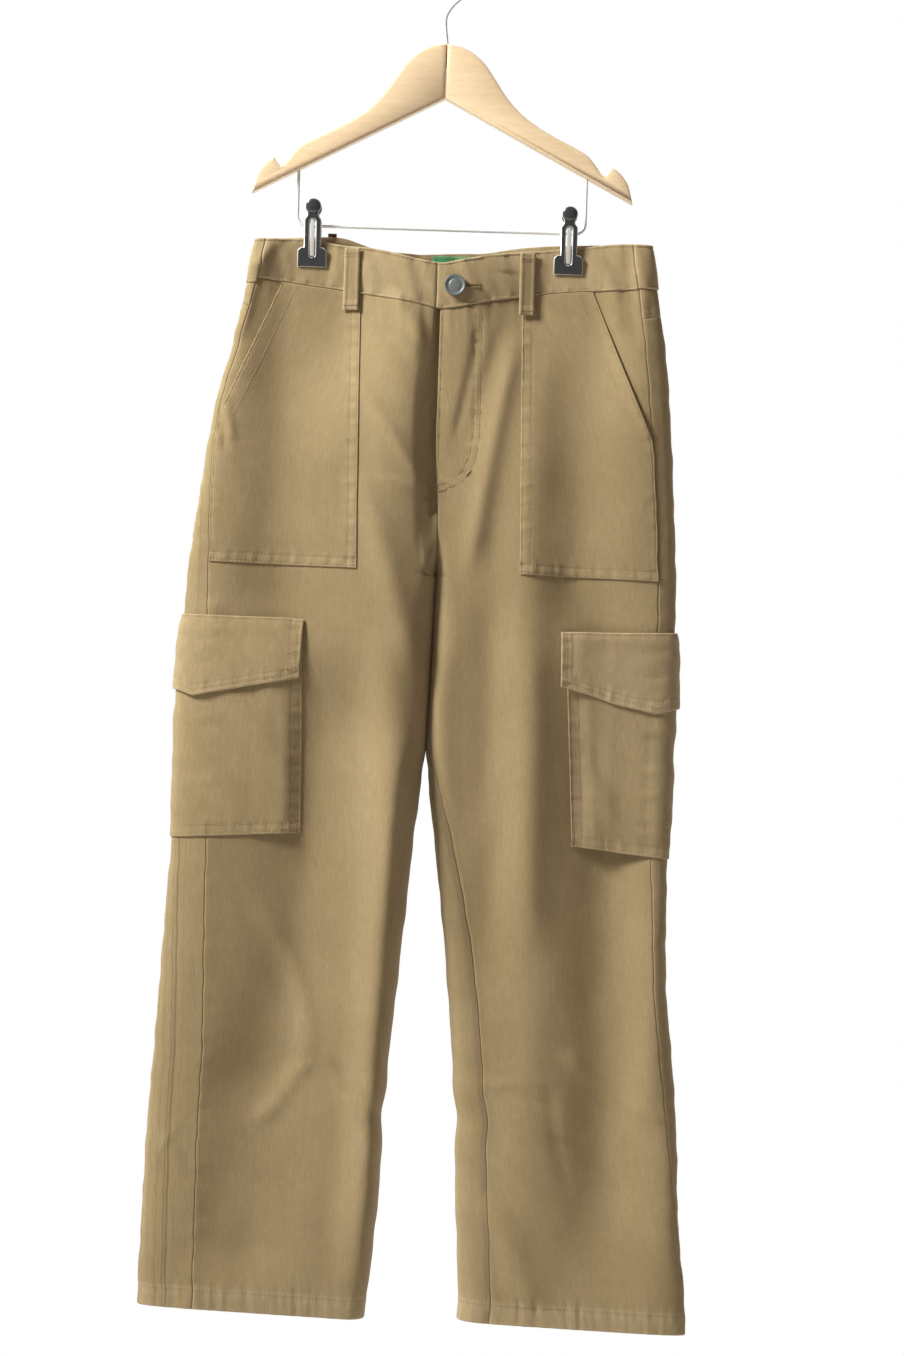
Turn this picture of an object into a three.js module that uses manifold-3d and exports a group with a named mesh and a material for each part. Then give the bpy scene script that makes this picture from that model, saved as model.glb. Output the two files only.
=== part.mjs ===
// A child's cargo trousers in cotton twill, clipped by the waistband to a wooden hanger.
// Millimetres, +Z up. The origin is where the inside top of the hook bears on a clothes rail.
// The front faces -Y, so the wearer's left is at +X and the wearer's right at -X.
import * as THREE from 'three';
import { mergeVertices } from 'three/addons/utils/BufferGeometryUtils.js';
import Module from 'manifold-3d';

const wasm = await Module();
wasm.setup();

// ---------------------------------------------------------------- driving sizes

const hangPlane = -9; // y of the clip bar and of the cloth's mid plane
const seamGap = 0.4; // between two pieces sewn edge to edge
const restGap = 0.45; // between a piece and the one that it lies on
const sewnGap = 0.65; // between a small sewn-on piece and the facets under it
const rowGap = { top: 2.5, foot: 2 }; // least room between rows near a slanted edge

const cloth = { wall: 1.4, hemWall: 2.2, hemHeight: 17, edgeRound: 2.4 };
const band = { wall: 2.2, proud: 0.5, height: 35.5, overlap: 3.5, underlap: 27, underlapSink: 3.6 };
const pinch = { x: 102, halfWidth: 16, reach: 43, depth: 2, footTop: -258, footEnd: -345 };
const rise = { crotch: -487, frontTurn: -452, backTurn: -402, seatShift: 10.5, waist: -240 };
const fly = { foot: -430, turn: -441, sinkFoot: -452, underlap: 9, sinkFrom: -9, sinkTo: -1 };
const patch = { wall: 1.2, spare: 32 }; // spare rows below it, before it is cut to its outline
const bag = { wall: 1.6, crown: 2.2, crownReach: 30 };
const flap = { wall: 2.2, rampTop: -530, rampFoot: -545 };
const loop = { width: 13, wall: 1.8, bow: 1.6, top: 1.5, frontDrop: 50, backDrop: 46 };
const button = { x: 12.5, z: -265, radius: 8.5, rim: 1.5, dish: 0.6, height: 2.6, shank: 4, stand: 1.3 };
const buttonhole = { end: 31, slit: 1.2, clearance: 0.35 };
const label = { from: -6, to: 32, top: -240.5, foot: -268, wall: 1 };
const tab = { from: -90, to: -83, rise: 3.2, lip: 1.2, drop: 12, wall: 1 };

const wood = { thickness: 12, edge: 2.4, sweep: 4.5 * Math.PI / 180, undersideZ: -114 };
const fit = { slack: 0.3, bore: 40 }; // round the wires, and how long their bores are cut
const hook = { wire: 3, bend: 18.5, stemFoot: -88, firstTurn: -48, lastTurn: 208, turnStep: 16 };
const bar = { wire: 2.5, x: 114.7, z: -219.5, corner: 8, top: -168 };
const clip = {
  wall: 1.2, lean: 5.4 * Math.PI / 180,
  knobZ: -204.5, knobRadius: 6.4, neck: 4.4, neckFoot: -212,
  body: 6.6, bodyTop: -215, slotTop: -217, slotFoot: -242.5, slotRadius: 2.6,
  jaw: 11.6, jawTop: -239.5, shoulder: -237, shoulderOut: 2, jawZ: -252.5,
};
const spring = { offset: 4.9, radius: 5.6, halfLength: 1.6 };
const beyond = { side: 240, depth: 80 }; // past the garment, for cutters

// ---------------------------------------------------------------- tables

const table = (columns, rows) => rows.map(
  (row) => Object.fromEntries(columns.map((name, i) => [name, row[i]])));

// Levels of the hanging cloth: where each side's outer and inner edges lie, and how far the
// front and the back stand off the mid plane. Above the crotch the inner edge is the fly's.
// round is the share of a leg's width over which its inner edge turns.
const sections = table(
  ['z', 'rightOuter', 'rightInner', 'leftInner', 'leftOuter', 'front', 'back', 'round'], [
    [-226, -146.0, 1.5, 1.5, 168.0, 15, 11, 0.05],
    [-262, -152.3, 1.7, 1.7, 173.6, 17, 13, 0.05],
    [-322, -164.4, 1.5, 1.5, 183.2, 19, 17, 0.05],
    [-355, -173.2, 1.5, 1.5, 186.3, 20, 19, 0.05],
    [-390, -179.4, 1.4, 1.4, 189.3, 20, 21, 0.05],
    [-440, -186.1, 4.4, 4.4, 192.5, 20, 23, 0.05],
    [-487, -192.0, 4.2, 5.0, 195.5, 19, 24, 0.06],
    [-536, -195.0, 3.2, 4.2, 196.3, 18, 22, 0.13],
    [-590, -196.0, 1.7, 2.8, 195.8, 17, 20, 0.22],
    [-640, -197.0, -0.3, 1.9, 195.0, 16, 18, 0.32],
    [-700, -198.5, -6.0, 8.7, 195.6, 16, 17, 0.42],
    [-760, -202.0, -10.9, 16.8, 196.2, 16, 17, 0.5],
    [-820, -205.0, -15.9, 23.8, 198.2, 16, 17, 0.5],
    [-880, -208.2, -20.9, 29.4, 205.0, 16, 17, 0.5],
    [-940, -211.6, -23.8, 33.4, 210.2, 16, 18, 0.5],
    [-1000, -213.3, -26.3, 35.9, 213.0, 17, 18, 0.5],
    [-1060, -215.0, -31.6, 39.7, 219.8, 17, 19, 0.5],
    [-1092, -214.8, -34.8, 39.3, 222.0, 17, 19, 0.5],
  ]);

// How far the long seams lie from the legs' edges. The side seams are rolled onto the front.
// An inseam is on the front where its distance is positive, on the back where it is negative.
const seams = table(['z', 'rightSide', 'leftSide', 'rightInseam', 'leftInseam'], [
  [-262, 8.0, 15.2, 0, 0],
  [-330, 5.0, 16.4, 0, 0],
  [-390, 5.2, 15.4, 0, 0],
  [-440, 10.0, 14.4, 0, 0],
  [-487, 16.3, 14.8, 0, 0],
  [-580, 22.0, 13.5, -1, 0.5],
  [-640, 25.0, 13.5, -5, 5],
  [-700, 28.0, 14.0, -10, 14],
  [-760, 31.8, 11.5, -14, 19.7],
  [-820, 35.8, 10.4, -17, 22.8],
  [-880, 39.6, 10.0, -19, 23.7],
  [-940, 41.2, 7.3, -20, 24.6],
  [-1000, 42.8, 2.6, -20, 25.5],
  [-1092, 45.3, 0.6, -20, 25.8],
]);

// The waist across the body: the top edge of the front and back waistbands, and the seam
// below the front one. The front dips between the clips.
const waist = table(['x', 'frontTop', 'frontSeam', 'backTop'], [
  [-150, -231.5, -262.0, -231.5],
  [-104, -230.2, -267.6, -228.6],
  [-78, -234.5, -270.8, -228.4],
  [-52, -236.7, -274.6, -235.6],
  [-20, -243.8, -280.0, -238.0],
  [1, -247.0, -284.0, -237.4],
  [12, -245.0, -283.2, -236.7],
  [36, -240.0, -277.6, -236.0],
  [61, -236.0, -272.8, -232.2],
  [88, -233.1, -268.3, -229.6],
  [111, -230.3, -266.0, -228.4],
  [138, -227.4, -264.7, -227.2],
  [172, -227.0, -262.5, -227.0],
]);

const yokeSeam = { side: -283, centre: -321, middle: 14 };
const hems = { right: { inner: -1086.8, outer: -1080.6 }, left: { inner: -1085.3, outer: -1092.3 } };

// The largest folds, each a soft ridge (height above 0) or hollow (below 0) along a curve
// through three points, the middle one halfway down.
const folds = table(['face', 'fromX', 'fromZ', 'midX', 'toX', 'toZ', 'width', 'height'], [
  ['rightFront', -75, -275, -49, -38, -1045, 17, 6],
  ['rightFront', -114, -296, -118, -119, -500, 16, -5],
  ['rightFront', -140, -720, -143, -126, -985, 26, -7],
  ['rightFront', -19, -288, -10, -3, -430, 11, -7],
  ['rightFront', -52, -430, -31, -10, -566, 11, 3],
  ['rightFront', -34, -272, -20, 0, -318, 8, 3],
  ['rightFront', -96, -850, -88, -110, -980, 16, 4],
  ['leftFront', 85, -286, 85, 97, -1050, 14, 7],
  ['leftFront', 107, -294, 121, 127, -1050, 17, -8],
  ['leftFront', 64, -300, 46, 31, -490, 13, 4],
  ['leftFront', 48, -292, 34, 18, -392, 9, -4],
  ['leftFront', 186, -760, 186, 180, -930, 13, 4],
  ['leftFront', 66, -990, 80, 98, -1066, 12, 3],
  ['leftFront', 38, -560, 38, 44, -760, 12, -3],
  ['rightBack', -20, -345, -46, -88, -470, 20, -5],
  ['rightBack', -22, -475, -50, -92, -560, 20, -6],
  ['rightBack', -72, -600, -78, -88, -1040, 24, -8],
  ['rightBack', -132, -560, -138, -144, -1040, 24, 5],
  ['leftBack', 36, -350, 66, 108, -476, 20, -5],
  ['leftBack', 34, -478, 64, 106, -566, 20, -6],
  ['leftBack', 84, -606, 92, 108, -1050, 24, -8],
  ['leftBack', 146, -565, 152, 164, -1045, 24, 5],
]);

// Patch pockets on the front: the x of their inner edge, the z of their lower one, and the two
// ends of their slanted hand opening. Their cutter starts a little above.
const frontPockets = {
  right: {
    inner: [-62.3, -58.1], foot: [-491.6, -488.4],
    opening: [-124.9, -264.9, -173.6, -377.5], above: 14,
  },
  left: {
    inner: [65.6, 70.8], foot: [-492.5, -495.9],
    opening: [122.7, -265.4, 173.5, -386.0], above: 14,
  },
};

// Cargo pockets astride the side seams. Each reaches round the leg's outer edge to the back.
// An edge gives the x of its upper and lower ends, a top or foot the z at the inner edge, at the
// leg's outer edge and at the back one.
const cargoPockets = {
  right: {
    outerX: -203, backX: -155,
    bagTop: -548, bagEdge: [-99.0, -96.6], bagFoot: [-702.5, -709.0, -704],
    flapTop: [-533.3, -531.3, -533], flapEdge: [-98.5, -100.9],
    flapFoot: [-579.2, -588.6, -579], point: [-184, -596.3],
  },
  left: {
    outerX: 202, backX: 146,
    bagTop: -548, bagEdge: [109.2, 118.5], bagFoot: [-706.8, -715.2, -709],
    flapTop: [-537.1, -534.8, -537], flapEdge: [104.6, 105.2],
    flapFoot: [-580.5, -593.0, -581], point: [182.5, -599.5],
  },
};
const cargoGrid = { highest: -500, lowest: -740, frontColumns: 7, backColumns: 6 };

const beltLoops = table(['name', 'side', 'x', 'front'], [
  ['front_right', 'right', -69.3, true],
  ['front_left', 'left', 69.5, true],
  ['back_right', 'right', -62, false],
  ['back_left', 'left', 78, false],
  ['back_centre', 'left', 22, false],
]);

// Upper outline of a hanger arm, from the crown to the tip, with the notch for a strap.
const armTop = table(['x', 'z'], [
  [0.15, -70], [14, -73], [25, -80], [32, -87], [40, -98.5], [49, -112], [62, -126],
  [81, -139], [107, -152.6], [116, -158.6], [122, -166], [126.5, -172.5],
]);
const armLobe = table(['x', 'z'], [[134.5, -166.5], [141, -171], [147, -179], [149.6, -187]]);
const armNotch = { x: 129.5, z: -173.6 };
const armTip = { x: 151.5, z: -195.6 };

// The hook's stem, from inside the wood up to where its round bend begins.
const hookStem = table(['x', 'z'], [[0, -88], [0, -70], [-1.6, -56], [-1.2, -47], [4, -38.5]]);

// ---------------------------------------------------------------- the hanging cloth as a surface

// Smooth curve through one column of a table: cubic, each row's slope taken from its neighbours.
function along(rows, column, value, by = 'z') {
  const descending = rows[0][by] > rows[rows.length - 1][by];
  const key = (row) => (descending ? -row[by] : row[by]);
  const v = descending ? -value : value;
  if (v <= key(rows[0])) return rows[0][column];
  const last = rows.length - 1;
  if (v >= key(rows[last])) return rows[last][column];
  let i = 0;
  while (v > key(rows[i + 1])) i += 1;
  const slope = (k) => {
    const a = rows[Math.max(k - 1, 0)];
    const b = rows[Math.min(k + 1, last)];
    return (b[column] - a[column]) / (key(b) - key(a));
  };
  const step = key(rows[i + 1]) - key(rows[i]);
  const t = (v - key(rows[i])) / step;
  const t2 = t * t;
  const t3 = t2 * t;
  return (2 * t3 - 3 * t2 + 1) * rows[i][column] + (t3 - 2 * t2 + t) * step * slope(i)
    + (3 * t2 - 2 * t3) * rows[i + 1][column] + (t3 - t2) * step * slope(i + 1);
}

const clamp = (v) => Math.min(Math.max(v, 0), 1);
const mix = (a, b, t) => a + (b - a) * t;
const smooth = (from, to, v) => {
  const t = clamp((v - from) / (to - from));
  return t * t * (3 - 2 * t);
};

const sides = {
  right: { name: 'right', sign: -1, outer: 'rightOuter', inner: 'rightInner' },
  left: { name: 'left', sign: 1, outer: 'leftOuter', inner: 'leftInner' },
};

function foldAt(face, x, z) {
  let sum = 0;
  for (const fold of folds) {
    if (fold.face !== face) continue;
    const t = (z - fold.fromZ) / (fold.toZ - fold.fromZ);
    if (t < -0.15 || t > 1.15) continue;
    const bow = fold.midX - (fold.fromX + fold.toX) / 2;
    const centre = mix(fold.fromX, fold.toX, t) + 4 * bow * t * (1 - t);
    const slope = (fold.toX - fold.fromX + 4 * bow * (1 - 2 * t)) / (fold.toZ - fold.fromZ);
    const off = (x - centre) / Math.hypot(1, slope) / fold.width;
    const ends = smooth(-0.15, 0.15, t) * smooth(1.15, 0.85, t);
    sum += fold.height * Math.exp(-off * off) * ends;
  }
  return sum;
}

function innerX(side, front, z) {
  const shift = front ? 0 : rise.seatShift * clamp((z - rise.crotch) / (rise.waist - rise.crotch));
  return along(sections, side.inner, z) + shift;
}

// A point of the outer face. q goes round one side of the garment: 0 at the inner edge of the
// front, 1 at the outer edge, 2 at the inner edge of the back. A leg's ring closes on itself.
// On the body, q below 0 or above 2 goes on past the centre.
function skin(side, q, z) {
  const onLeg = z <= rise.crotch;
  let turn = q;
  if (onLeg && turn < 0) turn += 2;
  if (onLeg && turn > 2) turn -= 2;
  const front = turn < 1;
  const u = front ? turn : 2 - turn;
  const x = mix(innerX(side, front, z), along(sections, side.outer, z), u);
  const power = cloth.edgeRound;
  const outerTurn = (1 - clamp(u) ** power) ** (1 / power);
  const from = front ? rise.frontTurn : rise.backTurn;
  const closing = clamp((from - z) / (from - rise.crotch)) ** power;
  const corner = clamp(1 - Math.max(u, 0) / along(sections, 'round', z)) ** power;
  const innerTurn = (1 - closing * corner) ** (1 / power);
  const loose = along(sections, front ? 'front' : 'back', z);
  const held = smooth(pinch.reach, pinch.halfWidth, Math.abs(Math.abs(x) - pinch.x))
    * smooth(pinch.footEnd, pinch.footTop, z);
  const fold = foldAt(side.name + (front ? 'Front' : 'Back'), x, z) * (1 - held);
  let depth = mix(loose * outerTurn, Math.min(pinch.depth, loose * outerTurn), held) * innerTurn;
  depth += fold * outerTurn * innerTurn;
  if (side.name === 'right' && front) {
    depth -= band.underlapSink * smooth(fly.sinkFrom, fly.sinkTo, x)
      * smooth(fly.sinkFoot, fly.turn, z);
  }
  return new THREE.Vector3(x, hangPlane + (front ? -depth : depth), z);
}

function skinNormal(side, q, z) {
  const width = Math.abs(along(sections, side.outer, z) - innerX(side, true, z));
  const dq = 0.4 / width;
  const dz = 0.4;
  const round = skin(side, q + dq, z).sub(skin(side, q - dq, z));
  const up = skin(side, q, z + dz).sub(skin(side, q, z - dz));
  return round.cross(up).multiplyScalar(side.sign).normalize();
}

// The q that lies a share of the way along the cloth from one q to another, at one level.
// trims are the lengths kept clear at the two ends.
function spread(side, z, [from, to], trims, share) {
  const steps = 48;
  const spots = [];
  let length = 0;
  let previous = null;
  for (let i = 0; i <= steps; i += 1) {
    const q = mix(from, to, i / steps);
    const point = skin(side, q, z);
    if (previous) length += point.distanceTo(previous);
    spots.push({ q, length });
    previous = point;
  }
  const target = mix(trims[0], length - trims[1], share);
  let i = 1;
  while (i < steps && spots[i].length < target) i += 1;
  const a = spots[i - 1];
  const b = spots[i];
  return mix(a.q, b.q, clamp((target - a.length) / (b.length - a.length)));
}

const widthAt = (side, z) => Math.abs(along(sections, side.outer, z) - innerX(side, true, z));
const sideSeamQ = (side, z) => 1 - along(seams, `${side.name}Side`, z) / widthAt(side, z);
const inseamQ = (side, z) => along(seams, `${side.name}Inseam`, z) / widthAt(side, z);

// ---------------------------------------------------------------- grids of cloth, and walls

// Rows of { point, normal }, from a top line to a foot line. stops are q's that the columns
// run through, each a function of the level, and counts the columns between them. top and foot
// give the height of those lines for an x, and levels the rows between them.
function clothGrid(side, { stops, counts, top, foot, levels }) {
  const rows = levels.length + 2;
  const grid = Array.from({ length: rows }, () => []);
  const last = counts.length - 1;
  counts.forEach((count, k) => {
    const trims = [k === 0 ? seamGap / 2 : 0, k === last ? seamGap / 2 : 0];
    for (let c = k === 0 ? 0 : 1; c <= count; c += 1) {
      const spotQ = (z) => spread(side, z, [stops[k](z), stops[k + 1](z)], trims, c / count);
      const lineAt = (line, z, heldZ) => line(skin(side, spotQ(z), heldZ).x);
      const edge = (line, guess) => lineAt(line, lineAt(line, guess, guess), guess);
      const highest = edge(top, top(0));
      const lowest = edge(foot, foot(0));
      for (let r = 0; r < rows; r += 1) {
        let z = highest;
        if (r === rows - 1) z = lowest;
        else if (r > 0) {
          z = Math.min(levels[r - 1](lowest), highest - rowGap.top * r);
          z = Math.max(z, lowest + rowGap.foot);
        }
        const q = spotQ(z);
        grid[r].push({ point: skin(side, q, z), normal: skinNormal(side, q, z) });
      }
    }
  });
  return grid;
}

// A cell's corners as [row, column], so that its first and third lie on the diagonal that bends
// it less.
function corners(grid, r, c) {
  const ring = [[r, c], [r + 1, c], [r + 1, c + 1], [r, c + 1]];
  const [a, b, d, e] = ring.map(([i, j]) => grid[i][j].base ?? grid[i][j].point);
  const facing = (p, q, s) => new THREE.Triangle(p, q, s).getNormal(new THREE.Vector3());
  if (facing(a, b, d).dot(facing(a, d, e)) < facing(a, b, e).dot(facing(b, d, e))) {
    ring.push(ring.shift());
  }
  return ring;
}

// A closed wall between two offsets from a grid's points. An offset is a number or a function
// of the grid's cell, its row and its column.
function wall(grid, outer, inner) {
  const rows = grid.length;
  const columns = grid[0].length;
  const positions = [];
  for (const offset of [outer, inner]) {
    grid.forEach((row, r) => row.forEach((cell, c) => {
      const by = typeof offset === 'function' ? offset(cell, r, c) : offset;
      const p = cell.point.clone().addScaledVector(cell.normal, by);
      positions.push(p.x, p.y, p.z);
    }));
  }
  const inward = rows * columns;
  const index = [];
  const quad = (a, b, c, d) => index.push(a, b, c, a, c, d);
  for (let r = 0; r < rows - 1; r += 1) {
    for (let c = 0; c < columns - 1; c += 1) {
      const [p, q, s, t] = corners(grid, r, c).map(([i, j]) => i * columns + j);
      quad(p, q, s, t);
      quad(inward + p, inward + t, inward + s, inward + q);
    }
    const head = r * columns;
    const tail = head + columns - 1;
    quad(head, inward + head, inward + head + columns, head + columns);
    quad(tail, tail + columns, inward + tail + columns, inward + tail);
  }
  const base = (rows - 1) * columns;
  for (let c = 0; c < columns - 1; c += 1) {
    quad(c, c + 1, inward + c + 1, inward + c);
    quad(base + c, inward + base + c, inward + base + c + 1, base + c + 1);
  }
  return turnedOut(bufferFrom(positions, index));
}

// A grid moved out along its normals, that keeps the diagonals of the grid it came from.
const raised = (grid, by) => grid.map((row) => row.map((cell) => ({
  ...cell, base: cell.point, point: cell.point.clone().addScaledVector(cell.normal, by),
})));

// The cell of cloth at an x and a z: on the grids' facets if the line along Y meets one, else on
// the smooth surface.
function cellAt(grids, side, front, x, z) {
  const facing = front ? 1 : -1;
  const start = new THREE.Vector3(x, hangPlane - facing * beyond.depth, z);
  const ray = new THREE.Ray(start, new THREE.Vector3(0, facing, 0));
  const centre = innerX(side, front, z);
  const share = (x - centre) / (along(sections, side.outer, z) - centre);
  const q = front ? share : 2 - share;
  const normal = skinNormal(side, q, z);
  const hit = new THREE.Vector3();
  for (const grid of grids) {
    for (let r = 0; r < grid.length - 1; r += 1) {
      for (let c = 0; c < grid[0].length - 1; c += 1) {
        const [a, b, d, e] = corners(grid, r, c).map(([i, j]) => grid[i][j].point);
        if (ray.intersectTriangle(a, b, d, false, hit) || ray.intersectTriangle(a, d, e, false, hit)) {
          return { point: hit, normal };
        }
      }
    }
  }
  return { point: skin(side, q, z), normal };
}

function bufferFrom(positions, index) {
  const geometry = new THREE.BufferGeometry();
  geometry.setAttribute('position', new THREE.Float32BufferAttribute(positions, 3));
  geometry.setIndex(index);
  return geometry;
}

// Faces pointing out: a closed shape has a positive volume.
function turnedOut(geometry) {
  const p = geometry.attributes.position;
  const index = geometry.index.array;
  const [a, b, c] = [new THREE.Vector3(), new THREE.Vector3(), new THREE.Vector3()];
  let volume = 0;
  for (let i = 0; i < index.length; i += 3) {
    a.fromBufferAttribute(p, index[i]);
    b.fromBufferAttribute(p, index[i + 1]);
    c.fromBufferAttribute(p, index[i + 2]);
    volume += a.dot(b.cross(c));
  }
  if (volume < 0) {
    for (let i = 0; i < index.length; i += 3) [index[i], index[i + 1]] = [index[i + 1], index[i]];
  }
  return geometry;
}

// ---------------------------------------------------------------- joining and cutting

function solid(geometry) {
  const plain = geometry.clone();
  plain.deleteAttribute('normal');
  plain.deleteAttribute('uv');
  const merged = mergeVertices(plain, 1e-4);
  return new wasm.Manifold(new wasm.Mesh({
    numProp: 3,
    vertProperties: new Float32Array(merged.attributes.position.array),
    triVerts: new Uint32Array(merged.index.array),
  }));
}

function fromSolid(shape) {
  const mesh = shape.getMesh();
  return bufferFrom(mesh.vertProperties, Array.from(mesh.triVerts));
}

const cut = (geometry, tool) => fromSolid(solid(geometry).subtract(solid(tool)));
const keep = (geometry, tool) => fromSolid(solid(geometry).intersect(tool));

// A prism through the cloth from one y to another, over an outline of [x, z] points.
function prism(outline, fromY, toY) {
  const shape = new THREE.Shape(outline.map(([x, z]) => new THREE.Vector2(x, z)));
  const geometry = new THREE.ExtrudeGeometry(shape, { depth: toY - fromY, bevelEnabled: false });
  return geometry.rotateX(Math.PI / 2).translate(0, toY, 0);
}

// ---------------------------------------------------------------- the object

const group = new THREE.Group();
const finishes = {
  twill: new THREE.MeshStandardMaterial({ color: 0xb39a6f, roughness: 0.92, metalness: 0 }),
  wood: new THREE.MeshStandardMaterial({ color: 0xdcc296, roughness: 0.45, metalness: 0 }),
  wire: new THREE.MeshStandardMaterial({ color: 0xb9babb, roughness: 0.3, metalness: 1 }),
  clip: new THREE.MeshStandardMaterial({ color: 0x26292b, roughness: 0.35, metalness: 1 }),
  button: new THREE.MeshStandardMaterial({ color: 0x6b6f72, roughness: 0.4, metalness: 1 }),
  label: new THREE.MeshStandardMaterial({ color: 0x3fa564, roughness: 0.8, metalness: 0 }),
  tab: new THREE.MeshStandardMaterial({ color: 0x5a3423, roughness: 0.7, metalness: 0 }),
};

function add(name, geometry, finish) {
  const mesh = new THREE.Mesh(geometry, finishes[finish].clone());
  mesh.name = name;
  group.add(mesh);
}

const level = (z) => () => z;
const bodyLevels = [-283, -306, -330, -355, -380, -405, -430, -441, -452, -466, -478, -487];
const legLevels = [-494, -508, -530, -545, -568, -592, -618, -645, -675, -707, -740, -775,
  -810, -850, -890, -930, -970, -1008, -1042];
const hemLevels = [(foot) => foot + cloth.hemHeight + 2.5, (foot) => foot + cloth.hemHeight];
const hemFoot = (side) => (x) => {
  const inner = along(sections, side.inner, -1092);
  const outer = along(sections, side.outer, -1092);
  return mix(hems[side.name].inner, hems[side.name].outer, clamp((x - inner) / (outer - inner)));
};
const below = (line) => (x) => line(x) - seamGap / 2;
const above = (line) => (x) => line(x) + seamGap / 2;

const waistLine = (column) => (x) => along(waist, column, x, 'x');
const backSeam = (x) => waistLine('backTop')(x) - band.height;
const yokeLine = (side) => (x) => {
  const centre = innerX(side, false, -300);
  const edge = along(sections, side.outer, -300);
  return mix(yokeSeam.centre, yokeSeam.side, clamp((x - centre) / (edge - centre)));
};

// The columns of one side's front and back. Each set runs from the side seam to the inner edge,
// the last two columns taking the turn there, and the back's first two the outer edge's.
const edgeTurn = 0.06;
const legTurn = (z) => mix(edgeTurn, 0.1, smooth(-500, -700, z));
const flyEnd = (side) => (z) => (side.name === 'left' ? 0
  : -fly.underlap * smooth(fly.turn, fly.foot, z) / widthAt(side, z));
const frontEnd = (side) => (z) => (z <= rise.crotch ? inseamQ(side, z) : flyEnd(side)(z));
const backEnd = (side) => (z) => (z <= rise.crotch ? 2 + inseamQ(side, z) : 2);
const turnBefore = (side, z, front) => {
  const q = inseamQ(side, z);
  const sewnHere = front ? q > 0 : q < 0;
  return sewnHere ? Math.abs(q) + edgeTurn : legTurn(z);
};
const frontStops = (side) => [
  (z) => sideSeamQ(side, z), (z) => turnBefore(side, z, true), frontEnd(side)];
const backStops = (side) => [
  (z) => sideSeamQ(side, z), () => 1, (z) => 2 - turnBefore(side, z, false), backEnd(side)];
const frontCounts = [10, 2];
const backCounts = (side) => [side.name === 'right' ? 2 : 1, 9, 2];

const hemmed = (cell, r, grid) => -(r >= grid.length - 2 ? cloth.hemWall : cloth.wall);
const panelWall = (grid) => wall(grid, 0, (cell, r) => hemmed(cell, r, grid));

function makePanels(side) {
  const legRows = [...legLevels.map(level), ...hemLevels];
  const front = clothGrid(side, {
    stops: frontStops(side),
    counts: frontCounts,
    top: below(waistLine('frontSeam')),
    foot: hemFoot(side),
    levels: [...bodyLevels.map(level), ...legRows],
  });
  const backs = { stops: backStops(side), counts: backCounts(side) };
  const back = clothGrid(side, {
    ...backs,
    top: below(yokeLine(side)),
    foot: hemFoot(side),
    levels: [...bodyLevels.slice(2).map(level), ...legRows],
  });
  const yoke = clothGrid(side, {
    ...backs,
    top: below(backSeam),
    foot: above(yokeLine(side)),
    levels: [(lowest) => lowest + yokeSeam.middle],
  });
  add(`front_${side.name}`, panelWall(front), 'twill');
  add(`back_${side.name}`, panelWall(back), 'twill');
  add(`yoke_${side.name}`, wall(yoke, 0, -cloth.wall), 'twill');
  return { front, back, yoke };
}

// The waistband: a doubled strip, a little proud of the cloth below it. Its wearer's left end
// laps over its right one, which goes on behind it.
const bandLevels = [(lowest) => lowest + 24, (lowest) => lowest + 12];

function makeWaistband() {
  const outer = band.proud;
  const inner = band.proud - band.wall;
  const frontBand = (side, reach, count) => clothGrid(side, {
    stops: [...frontStops(side), (z) => -reach / widthAt(side, z)],
    counts: [...frontCounts, count],
    top: waistLine('frontTop'),
    foot: above(waistLine('frontSeam')),
    levels: bandLevels,
  });
  const backBand = (side) => clothGrid(side, {
    stops: backStops(side),
    counts: backCounts(side),
    top: waistLine('backTop'),
    foot: above(backSeam),
    levels: bandLevels,
  });
  const right = frontBand(sides.right, band.underlap, 2);
  const left = frontBand(sides.left, band.overlap, 1);
  const backLeft = backBand(sides.left);
  const back = backBand(sides.right).map(
    (row, r) => [...row.slice(0, -1), ...backLeft[r].slice(0, -1).reverse()]);
  add('waistband_front_right', wall(right, outer, inner), 'twill');
  add('waistband_front_left', withButtonhole(wall(left, outer, inner)), 'twill');
  add('waistband_back', wall(back, outer, inner), 'twill');
  return { right, left, back };
}

// A keyhole: a round eye that the button's shank fills, and a slit away from it.
function withButtonhole(geometry) {
  const eye = button.shank + buttonhole.clearance;
  const half = buttonhole.slit / 2;
  const outline = new THREE.Shape();
  const reach = Math.asin(half / eye);
  outline.absarc(button.x, button.z, eye, reach, 2 * Math.PI - reach, false);
  outline.lineTo(buttonhole.end, button.z - half);
  outline.lineTo(buttonhole.end, button.z + half);
  const points = outline.extractPoints(5).shape.map((p) => [p.x, p.y]);
  return cut(geometry, prism(points, hangPlane - beyond.depth, hangPlane));
}

// Pockets lie on the panels' own points, moved out, and are cut to their outlines.
function makeFrontPocket(side, front) {
  const { inner, foot, opening, above: up } = frontPockets[side.name];
  const far = beyond.side * side.sign;
  const [topX, topZ, footX, footZ] = opening;
  const lean = (footX - topX) / (topZ - footZ);
  const outline = [
    [inner[0], topZ + up], [inner[1], foot[0]], [far, foot[1]], [far, footZ],
    [footX, footZ], [topX - lean * up, topZ + up],
  ];
  const rows = front.filter((row) => row[0].point.z > Math.min(...foot) - patch.spare);
  const layer = wall(rows, restGap + patch.wall, restGap);
  const shape = keep(layer, solid(prism(wound(side, outline), hangPlane - beyond.depth, hangPlane)));
  add(`pocket_front_${side.name}`, shape, 'twill');
}

// An outline's points in the order that a prism wants, on either side.
const wound = (side, outline) => (side.sign > 0 ? outline.slice().reverse() : outline);

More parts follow.
